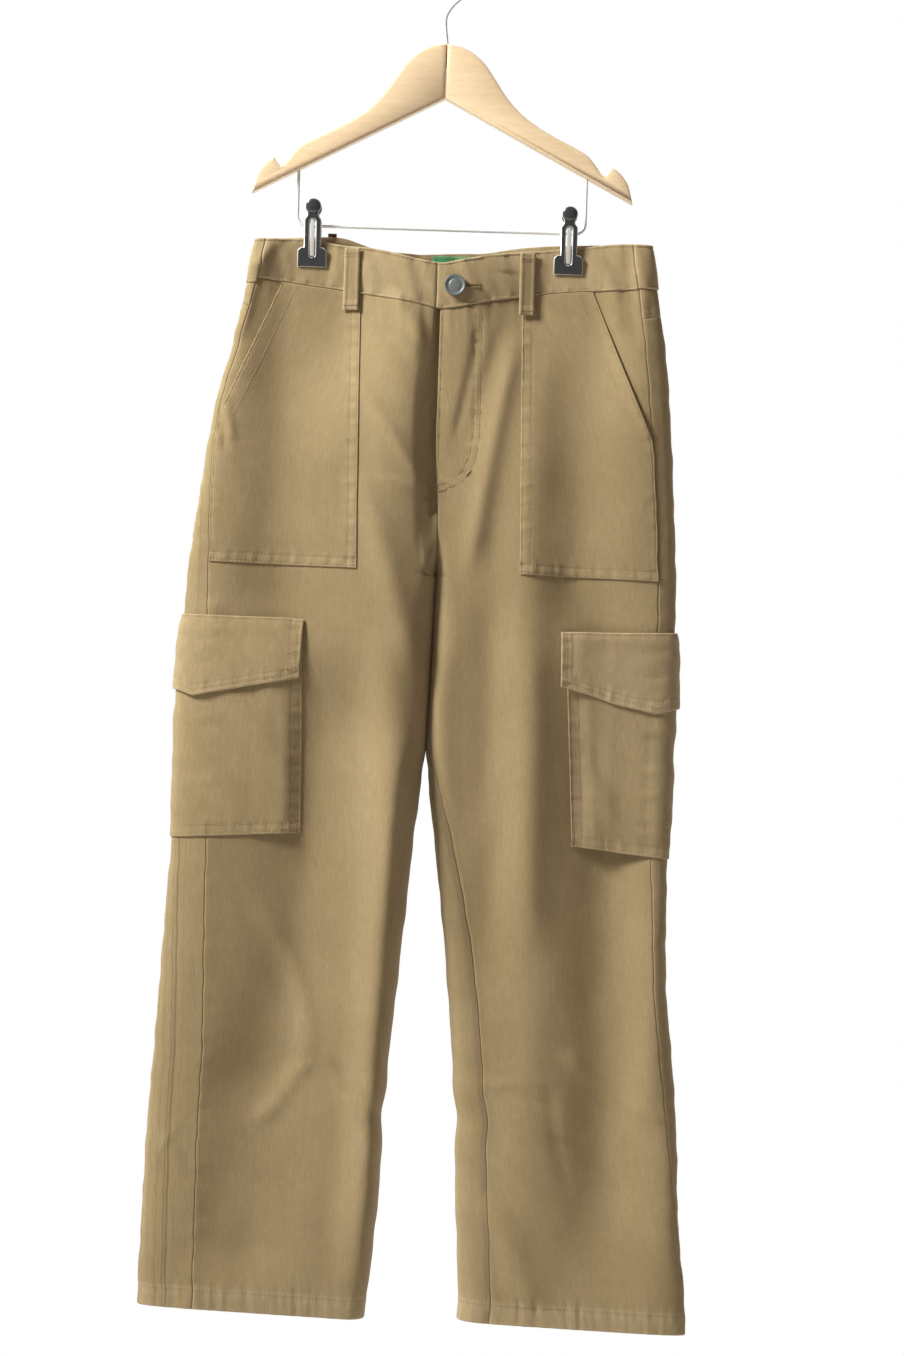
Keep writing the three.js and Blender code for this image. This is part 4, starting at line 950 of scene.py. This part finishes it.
# Patch pockets: the inner edge's x at its top and foot, the foot's z at its inner and outer end,
# and the x and z of the slanted opening's top and foot.
handPockets = {
    "right": {
        "inner": (-62.3, -58.1), "foot": (-491.6, -488.4),
        "opening": (-124.9, -264.9, -173.6, -377.5),
    },
    "left": {
        "inner": (65.6, 70.8), "foot": (-492.5, -495.9),
        "opening": (122.7, -265.4, 173.5, -386.0),
    },
}
handPocket = {
    "wall": 0.9, "above": 14, "edgeRows": (1.6, 7.8), "openingRows": (1.6, 12.5), "farX": 240,
    "gape": {"right": 0.0, "left": 1.3}, "gapeWidth": 7,
}


def makeHandPocket(side):
    size = handPockets[side["name"]]
    name = "cloth_pocket_front_" + side["name"]
    topX, topZ, footX, footZ = size["opening"]

    def outer(z):
        slant = qAt(side, True, topX + (footX - topX) * (topZ - z) / (topZ - footZ), z)
        return np.minimum(slant, sideSeamQ(side, z) - 0.2 / widthAt(side, z))

    def inner(z):
        share = (topZ + handPocket["above"] - z) / (topZ + handPocket["above"] - size["foot"][0])
        return qAt(side, True, mix(*size["inner"], share), z)

    def foot(x, front):
        near, far = size["inner"][1], handPocket["farX"] * side["sign"]
        return mix(*size["foot"], (x - near) / (far - near))

    patch = clothPatch(side, outer, inner, below(frontSeam), foot, 64, 120, trims=(0, 0), near=pocketNear)
    z = patch["points"][..., 2]
    gape = handPocket["gape"][side["name"]] * bell(measured(patch)["start"], handPocket["gapeWidth"])
    gape = gape * (smooth(footZ - 4, footZ + 12, z) * smooth(topZ - 10, topZ - 60, z))
    rows = rowsAt(("end", "foot"), handPocket["edgeRows"])
    clothPiece(name, patch, restGap, handPocket["wall"], rows + [("start", handPocket["openingRows"][0])],
               extra=gape, pucker=0.24, rubbedAndLit=0.16)
    sewRows(name, rows)
    for distance in handPocket["openingRows"]:
        line, normals = rowOn(name, "start", distance, (1, 0))
        keep = line[:, 2] > footZ + 2
        stitch(name, line[keep], normals[keep])


# Cargo pockets lie astride the side seams, each with a crowned bag and a pointed flap. An edge is
# its x at top and foot, a foot or a flap's top its z at the front, the outer edge and the back.
cargo = {
    "right": {
        "outerX": -203, "backX": -155, "bagTop": -548, "bagEdge": (-99.0, -96.6),
        "bagFoot": (-702.5, -709.0, -704),
        "flapTop": (-533.3, -531.3, -533), "flapEdge": (-98.5, -100.9), "flapFoot": (-579.2, -588.6, -579),
        "point": (-184, -596.3),
    },
    "left": {
        "outerX": 202, "backX": 146, "bagTop": -548, "bagEdge": (109.2, 118.5),
        "bagFoot": (-706.8, -715.2, -709),
        "flapTop": (-537.1, -534.8, -537), "flapEdge": (104.6, 105.2), "flapFoot": (-580.5, -593.0, -581),
        "point": (182.5, -599.5),
    },
}
# The left bag and flap are given a lighter colour than the right ones: painted light.
bag = {
    "wall": 1.2, "crown": 2.2, "crownReach": 30, "slack": 0.8, "span": 0.55, "spanReach": 18,
    "rows": (2.2, 8.6), "wearAndPaintedLight": {"right": 0.0, "left": 0.1},
}
flap = {
    "wall": 1.7, "rampTop": -530, "rampFoot": -545, "rows": (4.6, 9.2), "topRow": 1.8, "tacks": (3.0, 7.0),
    "wearAndPaintedLight": {"right": 0.08, "left": 0.34},
}


def makeCargo(side):
    size, sign = cargo[side["name"]], side["sign"]
    middle = (size["bagTop"] + size["bagFoot"][0]) / 2
    half = (size["bagTop"] - size["bagFoot"][0]) / 2

    def crown(points):
        edge = np.where(points[..., 1] < hangPlane, size["bagEdge"][1], size["backX"])
        inward = np.clip((points[..., 0] - edge) * sign / bag["crownReach"], 0, 1)
        return bag["crown"] * np.clip(1 - ((points[..., 2] - middle) / half) ** 4, 0, 1) * inward

    def spanned(points, distance):  # how far the cloth behind falls away from a stiff pocket
        fall = foldAt(folds, side["name"] + "Front", points[..., 0], points[..., 2])
        held = smooth(0, bag["spanReach"], distance) * (points[..., 1] < hangPlane)
        return -bag["span"] * np.minimum(fall, 0) * held

    # A line round the side, at its front, outer and back heights.
    def rim(x, heights, *between):
        outer = (size["outerX"], heights[1])
        lines = [sorted([(x, heights[0]), *between, outer]), sorted([(size["backX"], heights[2]), outer])]
        return lambda v, front: np.where(front, *(np.interp(v, *zip(*line)) for line in lines))

    def patchFrom(edge, top, foot, upper, lower, rows, near):
        start = lambda z: qAt(side, True, mix(*edge, np.clip((top - z) / (top - foot), 0, 1)), z)
        return clothPatch(side, start, upright(side, False, size["backX"]), upper, lower, 70, rows,
                          trims=(0, 0), near=near)

    name, rows = "cloth_cargo_pocket_" + side["name"], rowsAt(("start", "end", "foot"), bag["rows"])
    patch = patchFrom(size["bagEdge"], size["bagTop"], size["bagFoot"][0], levelLine(size["bagTop"]),
                      rim(size["bagEdge"][1], size["bagFoot"]), 78, pocketNear)
    away, points = measured(patch), patch["points"]
    inside = smooth(4, 26, np.minimum(np.minimum(away["start"], away["end"]), away["foot"]))
    soft = bag["slack"] * inside * ripple(points[..., 0] / 58 + points[..., 2] / 71, 2.2)
    extra = crown(points) + soft + spanned(points, away["start"])
    clothPiece(name, patch, restGap, bag["wall"], rows, extra=extra, wearAndPaintedLight=bag["wearAndPaintedLight"][side["name"]],
               pucker=0.24, rubbedAndLit=0.2)
    sewRows(name, rows)

    name, rows = "cloth_cargo_flap_" + side["name"], rowsAt(("start", "end", "foot"), flap["rows"])
    patch = patchFrom(size["flapEdge"], size["flapTop"][0], size["flapFoot"][0],
                      rim(size["flapEdge"][0], size["flapTop"]),
                      rim(size["flapEdge"][1], size["flapFoot"], size["point"]), 26,
                      (sewnEdge, sewnEdge, sewnEdge[:5], sewnEdge))
    points = patch["points"]
    lifted = (bag["wall"] + restGap + bag["slack"] * 0.6 + crown(points)) * smooth(
        flap["rampTop"], flap["rampFoot"], points[..., 2])
    lifted = lifted + spanned(points, measured(patch)["start"])
    clothPiece(name, patch, restGap, flap["wall"], rows + [("top", flap["topRow"])], extra=lifted,
               wearAndPaintedLight=flap["wearAndPaintedLight"][side["name"]], pucker=0.24, rubbedAndLit=0.3)
    sewRows(name, rows)
    stitch(name, *rowOn(name, "top", flap["topRow"], (2, 2)))
    for inset in flap["tacks"]:
        x, z = size["flapEdge"][0] + sign * inset, size["flapTop"][0]
        tack(name, side, [(x, z - 1.5), (x, z - 8.5)], restGap + flap["wall"] + 0.5)


for side in sides.values():
    makeHandPocket(side)
    makeCargo(side)
print("pockets and flaps made")

loop = {
    "width": 13, "wall": 1.5, "top": 1.5, "frontDrop": 50, "backDrop": 46, "seat": 0.5, "lift": 0.6,
    "bow": 0.9, "ridge": 0.35, "fold": 0.5, "foldHeight": 7, "tackAt": 4.2,
}
beltLoops = {
    "front_right": ("right", -69.3), "front_left": ("left", 69.5),
    "back_right": ("right", -62), "back_left": ("left", 78), "back_centre": ("left", 22),
}


# A strip over the waistband, folded under and tacked at both ends, and bowed out between them.
def makeLoop(place, sideName, x):
    side, front = sides[sideName], "front" in place
    topLine, seamLine = (frontTop, frontSeam) if front else (backTop, backSeam)
    high = float(topLine(x)) - loop["top"]
    low, seam = high - loop["frontDrop" if front else "backDrop"], float(seamLine(x))
    start, end = (upright(side, front, x + way * loop["width"] / 2) for way in (-1, 1))
    patch = clothPatch(side, start, end, levelLine(high), levelLine(low), 16, 60, trims=(0, 0),
                       near=((0.35, 0.8, 1.3, 1.9, 2.6),) * 2 + ((0.4, 0.9, 1.5, 2.2),) * 2)
    z, away = patch["points"][..., 2], measured(patch)
    behind = restGap + handPocket["wall"] if front else 0.0
    carrier = mix(band["proud"] + loop["lift"], behind, smooth(seam + 1.5, seam - 1.5, z))
    ridge = loop["ridge"] * bell(np.minimum(away["start"], away["end"]) - 1.9, 0.9)
    foldIn, foldOut = loop["foldHeight"] + 0.5, loop["foldHeight"] - 0.5
    folds = loop["fold"] * sum(smooth(foldIn, foldOut, away[edge]) for edge in ("foot", "top"))
    name = "cloth_belt_loop_" + place
    extra = carrier + loop["bow"] * np.sin(math.pi * ((high - z) / (high - low))) + ridge + folds
    # The loop is made paler overall, and most on its raised ridges, where this is a painted highlight.
    clothPiece(name, patch, loop["seat"], loop["wall"], extra=extra, wearAndPaintedLight=0.12 + 0.5 * ridge, rubbedAndLit=0.2)
    for edge in ("start", "end"):
        stitch(name, *rowOn(name, edge, 2.9, (8, 8)), pitch=2.9, length=2.0)
    for edge in ("top", "foot"):
        stitch(name, *rowOn(name, edge, loop["tackAt"], (0.8, 0.8)), pitch=0.62, length=2.2, across=True)


for place, row in beltLoops.items():
    makeLoop(place, *row)
print("belt loops made")

# Stitches of the fly and its tacks.
left, right = sides["left"], sides["right"]
for line in flyRows:
    stitch("cloth_front_left", *lineOn(left, True, line, -0.12))
for places in ([(25.5, -415.5), (29.5, -411.5)], [(4.5, -428.5), (10.5, -427)]):
    tack("cloth_front_left", left, places, 0.2)
print("fly stitched")

button = {
    "x": 12.5, "z": -265, "radius": 8.5, "height": 2.6, "shank": 4, "stand": 1.3, "segments": 64,
    "insets": [(1.5, 0), (0.35, -0.6), (2.2, 0), (0.3, 0.28)],  # width and depth of each step inwards
}


def startAlone(piece=None):
    bpy.ops.object.select_all(action="DESELECT")
    if piece:
        piece.select_set(True)
        bpy.context.view_layer.objects.active = piece


def placeApplied():
    bpy.ops.object.transform_apply(location=True, rotation=True, scale=True)
    return bpy.context.object


def finishPiece(piece, name, finish, nodes, angle=35):
    piece.name = piece.data.name = name
    startAlone(piece)
    placeApplied()
    bpy.ops.object.shade_smooth_by_angle(angle=math.radians(angle))
    piece.data.materials.clear()
    piece.data.materials.append(finishes[finish])
    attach(piece, "root")
    if nodes:
        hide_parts(*nodes)
    return piece


def soften(piece, width, segments=3, angle=40, clamp=True):
    bevel = piece.modifiers.new("soften", "BEVEL")
    bevel.width, bevel.segments, bevel.angle_limit = width * metre, segments, math.radians(angle)
    bevel.use_clamp_overlap = clamp
    bpy.ops.object.modifier_apply(modifier=bevel.name)


def editing(on):
    bpy.ops.object.mode_set(mode="EDIT" if on else "OBJECT")


# Leaves the piece in edit mode with only those parts picked that pass the test.
def pick(kind, parts, test):
    editing(True)
    bpy.ops.mesh.select_mode(type=kind)
    bpy.ops.mesh.select_all(action="DESELECT")
    editing(False)
    for part in parts:
        part.select = test(part)
    editing(True)


def disc(radius, depth, segments, place=(0, 0, 0)):  # a round plate that faces the front
    startAlone()
    bpy.ops.mesh.primitive_cylinder_add(
        vertices=segments, radius=radius * metre, depth=depth * metre, location=[v * metre for v in place],
        rotation=(math.pi / 2, 0, 0))
    return placeApplied()


# The head: a round plate whose front is inset for the rim, sunk for the dish and softened, with
# the shank drawn out of its back.
def makeButton():
    lap = lineOn(left, True, [(button["x"], button["z"]), (button["x"] + 0.1, button["z"])], bandFace)[0][0]
    back = lap[1] - button["stand"]
    piece = disc(button["radius"], button["height"], button["segments"],
                 (button["x"], back - button["height"] / 2, button["z"]))
    pick("FACE", piece.data.polygons, lambda face: face.normal.y < -0.9)
    for thickness, depth in button["insets"]:
        bpy.ops.mesh.inset(thickness=thickness * metre, depth=depth * metre)
    pick("FACE", piece.data.polygons, lambda face: face.normal.y > 0.9)
    bpy.ops.mesh.inset(thickness=(button["radius"] - button["shank"]) * metre)
    bpy.ops.mesh.extrude_region_move(
        TRANSFORM_OT_translate={"value": (0, (button["stand"] + band["wall"] + restGap) * metre, 0)})
    editing(False)
    soften(piece, 0.28, angle=30)
    finishPiece(piece, "fly_button", "button", ["button"])


# The buttonhole is cut through the upper lap and edged with close satin stitches.
buttonhole = {"eye": 4.35, "end": 30, "slit": 0.5, "border": 1.15, "from": 8, "bar": 1.6, "barHalf": 2.2}


def makeButtonhole():
    middle, half = button["z"], buttonhole["slit"] / 2
    turn = math.asin(half / buttonhole["eye"])
    outline = [(button["x"] + buttonhole["eye"] * math.cos(a), middle + buttonhole["eye"] * math.sin(a))
               for a in np.linspace(turn, 2 * math.pi - turn, 28)]
    outline += [(buttonhole["end"], middle - half), (buttonhole["end"], middle + half)]
    count = len(outline)
    points = np.array([(x, y, z) for y in (-70.0, hangPlane) for x, z in outline])
    mesh = bpy.data.meshes.new("cutter")
    ends = [tuple(range(count))[::-1], tuple(range(count, 2 * count))]
    walls = [(k, (k + 1) % count, (k + 1) % count + count, k + count) for k in range(count)]
    mesh.from_pydata((points * metre).tolist(), [], [*ends, *walls])
    cutter = added("cutter", mesh)
    startAlone(cutter)
    editing(True)
    bpy.ops.mesh.select_all(action="SELECT")
    bpy.ops.mesh.normals_make_consistent(inside=False)
    editing(False)
    name = "cloth_waistband_front_left"
    lap = clothPieces[name]["piece"]
    cut = lap.modifiers.new("buttonhole", "BOOLEAN")
    cut.operation, cut.solver, cut.object = "DIFFERENCE", "EXACT", cutter
    startAlone(lap)
    bpy.ops.object.modifier_apply(modifier=cut.name)
    bpy.data.objects.remove(cutter)
    bars = [[(button["x"] + buttonhole["from"], z), (buttonhole["end"] + 1, z)]
            for z in (middle - buttonhole["border"], middle + buttonhole["border"])]
    x = buttonhole["end"] + buttonhole["bar"]
    bars.append([(x, middle - buttonhole["barHalf"]), (x, middle + buttonhole["barHalf"])])
    for bar in bars:
        stitch(name, *lineOn(left, True, bar, bandFace), pitch=0.5, length=1.9, radius=0.26, across=True,
               finish="darkThread")


makeButton()
makeButtonhole()
print("button and buttonhole made")

label = {"from": -6, "to": 32, "top": -239.2, "foot": -268, "wall": 1.0}
# A dark brown strip stands above the back band where there is deep shade between the bands: painted shade
# made as a piece.
tab = {"from": -90, "to": -83, "rise": 3.2, "drop": 12, "wall": 1.0, "seat": 0.65}


def makeTape(name, side, start, end, top, foot, columns, rows, lift, wall):
    edges = [upright(side, False, x) for x in (start, end)]
    patch = clothPatch(side, *edges, levelLine(top), levelLine(foot), columns, rows, trims=(0, 0))
    clothPiece("woven_" + name, patch, lift, wall, finish=name, hung=("cloth_waistband_back",))


def makeTapes():
    inside = band["proud"] - band["wall"] - restGap
    makeTape("label", left, label["from"], label["to"], label["top"], label["foot"], 40, 28,
             inside - label["wall"], label["wall"])
    z = label["top"] - 1.6
    row = [(label["from"] + 1.5, z), (label["to"] - 1.5, z)]
    stitch("woven_label", *lineOn(left, False, row, inside - 1.1))
    top = float(backTop((tab["from"] + tab["to"]) / 2))
    makeTape("tab", right, tab["to"], tab["from"], top + tab["rise"], top - tab["drop"], 12, 16,
             band["proud"] + tab["seat"], tab["wall"])


makeTapes()
print("label and tab made")

# A copy of a frame node's mesh, welded and smoothed, as a piece that replaces it.
def dressed(node, name, finish, bevel, angle=38, segments=3):
    source = bpy.data.objects[node]
    piece = source.copy()
    piece.data = source.data.copy()
    for key in list(piece.keys()):
        del piece[key]
    scene.collection.objects.link(piece)
    piece.parent = None
    startAlone(piece)
    editing(True)
    bpy.ops.mesh.select_all(action="SELECT")
    bpy.ops.mesh.remove_doubles(threshold=1e-6)
    bpy.ops.mesh.dissolve_limited(angle_limit=math.radians(0.5))
    editing(False)
    soften(piece, bevel, segments, clamp=segments > 1)
    return finishPiece(piece, name, finish, [node], angle)


hardware = {"armBevel": 0.5, "plateBevel": 0.46, "face": 0.9}
clipDetail = {
    "lean": 5.4, "jawZ": -252.5, "face": 4.15, "slotTop": -217, "slotFoot": -242.5,
    "strip": 1.75, "stripWall": 0.7, "stripSeat": 0.65, "segments": 32,
    "knobZ": -204.5, "knob": 5.6, "dome": 1.5, "knobSeat": 0.1,
}


# Each front plate has a polished strip behind its slot and a domed knob.
def makeClipDetail(name, x):
    lean = math.radians(clipDetail["lean"])

    def faceAt(z, seat):
        y = hangPlane - clipDetail["face"] - (z - clipDetail["jawZ"]) * math.tan(lean)
        return (x * metre, (y + seat) * metre, z * metre)

    middle = (clipDetail["slotTop"] + clipDetail["slotFoot"]) / 2
    reach = (clipDetail["slotTop"] - clipDetail["slotFoot"]) / 2
    piece = disc(clipDetail["strip"], clipDetail["stripWall"], clipDetail["segments"])
    for way in (-1, 1):
        pick("VERT", piece.data.vertices, lambda vertex: vertex.co.z * way > 1e-7)
        bpy.ops.transform.translate(value=(0, 0, way * reach * metre))
    editing(False)
    piece.rotation_euler = (lean, 0, 0)
    piece.location = faceAt(middle, clipDetail["stripSeat"])
    soften(piece, 0.3)
    finishPiece(piece, "clip_strip_" + name, "liner", [])
    startAlone()
    bpy.ops.mesh.primitive_uv_sphere_add(
        segments=clipDetail["segments"], ring_count=16, radius=clipDetail["knob"] * metre,
        scale=(1, clipDetail["dome"] / clipDetail["knob"], 1), rotation=(lean, 0, 0),
        location=faceAt(clipDetail["knobZ"], clipDetail["knobSeat"]))
    finishPiece(bpy.context.object, "clip_knob_" + name, "clip", [])


for name in ("right", "left"):
    dressed("hanger_arm_" + name, "wooden_arm_" + name, "wood", hardware["armBevel"], 50)
    for place in ("front", "back"):
        node = f"clip_{name}_{place}"
        plate = dressed(node, "steel_" + node, "clip", hardware["plateBevel"], segments=1)
        plate.data.materials.append(finishes["liner"])  # the cut edges are bright
        plate.data.polygons.foreach_set("material_index", [
            int(abs(face.normal.y) < hardware["face"]) for face in plate.data.polygons])
for side in (right, left):
    makeClipDetail(side["name"], side["sign"] * pinch["x"])
print("hanger arms and clips made")


# A round wire through points, as a curve given a thickness and made a mesh.
def makeWire(name, points, diameter, node):
    startAlone()
    bpy.ops.curve.primitive_nurbs_path_add()
    piece = bpy.context.object
    piece.data.splines.clear()
    spline = piece.data.splines.new("POLY")
    spline.points.add(len(points) - 1)
    places = np.concatenate([np.array(points) * metre, np.ones((len(points), 1))], 1)
    spline.points.foreach_set("co", places.ravel())
    piece.data.bevel_depth = diameter / 2 * metre
    piece.data.bevel_resolution = 5
    piece.data.use_fill_caps = True
    bpy.ops.object.convert(target="MESH")
    return finishPiece(bpy.context.object, name, "wire", [node], 60)


hookWire = {
    "wire": 3, "bend": 18.5, "firstTurn": -48, "lastTurn": 208,
    "stem": [(0, -88), (0, -80), (0, -70), (-1.6, -56), (-1.2, -47), (4, -38.5)],
}
barWire = {"wire": 2.5, "x": 114.7, "z": -219.5, "corner": 8, "top": -168}
coil = {"offset": 4.9, "radius": 5.0, "wire": 1.1, "turns": 2.6, "halfLength": 1.5}


def curved(points, steps):  # a smooth line through points
    points = np.array(points, dtype=float)
    held = np.concatenate([[2 * points[0] - points[1]], points, [2 * points[-1] - points[-2]]])
    out = []
    for a, b, c, d in zip(held, held[1:], held[2:], held[3:]):
        for t in np.arange(steps) / steps:
            out.append(0.5 * (2 * b + (c - a) * t + (2 * a - 5 * b + 4 * c - d) * t**2
                              + (3 * b - a - 3 * c + d) * t**3))
    return np.array([*out, points[-1]])


centreZ = hookWire["wire"] / 2 - hookWire["bend"]
turns = np.radians(np.arange(hookWire["firstTurn"], hookWire["lastTurn"] + 1, 16))
bend = [(hookWire["bend"] * math.cos(a), centreZ + hookWire["bend"] * math.sin(a)) for a in turns]
line = curved(hookWire["stem"] + bend, 6)
makeWire("hook_wire", np.stack([line[:, 0], 0 * line[:, 0], line[:, 1]], -1), hookWire["wire"], "hook")

corner = [(barWire["x"] - barWire["corner"] * (1 - math.sin(a)),
           barWire["z"] + barWire["corner"] * (1 - math.cos(a))) for a in np.radians(np.arange(90, -1, -9))]
half = [(barWire["x"], barWire["top"]), *corner]
across = half + [(-x, z) for x, z in half[::-1]]
makeWire("clip_wire", [(x, hangPlane, z) for x, z in across], barWire["wire"], "clip_bar")

t = np.linspace(0, 1, int(coil["turns"] * 22))
angle = 2 * math.pi * coil["turns"] * t
radius = coil["radius"] - coil["wire"] / 2
for side in (right, left):
    for place, offset in (("outer", coil["offset"]), ("inner", -coil["offset"])):
        x = side["sign"] * (pinch["x"] + offset) + mix(-1, 1, t) * (coil["halfLength"] - coil["wire"] / 2)
        makeWire(f"spring_{side['name']}_{place}", np.stack([
            x, hangPlane + radius * np.cos(angle), barWire["z"] + radius * np.sin(angle)], -1),
            coil["wire"], f"clip_spring_{side['name']}_{place}")
print("hook, clip bar and springs made")

for name, cloth in clothPieces.items():
    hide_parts(name.split("_", 1)[1])
    wide, tall = cloth["flat"]
    if name != "woven_tab":  # the 7 mm strip is left out here; a 7 mm tape is narrower than a sheet may be declared
        wide * metre
        tall * metre
        cloth["area"] * metre**2
    print(f"{name}: {wide:.0f} x {tall:.0f} mm, {cloth['area'] / 100:.0f} square centimetres")
for (owner, finish), parts in threads.items():
    offsets = np.cumsum([0] + [len(points) for points, _ in parts[:-1]])
    faces = np.concatenate([faces + offset for (_, faces), offset in zip(parts, offsets)])
    makePiece(f"{finish}_{owner}", np.concatenate([points for points, _ in parts]), faces, finish)
print("stitches made")


def makeFloor():
    startAlone()
    bpy.ops.mesh.primitive_plane_add(size=studio["floorSize"], location=(0, 0, studio["floorDepth"]))
    floor = bpy.context.object
    floor.name = "floor"
    f = Look("paleFloor")
    dim = tuple(c * 0.97 for c in studio["floorColour"])
    body = f.blend(f.noise(f.object(), 3.0), studio["floorColour"], dim)
    floor.data.materials.append(f.done({"Base Color": body, "Roughness": 0.8}))


makeFloor()
makeLight()
makeWorld()
print("scene ready")
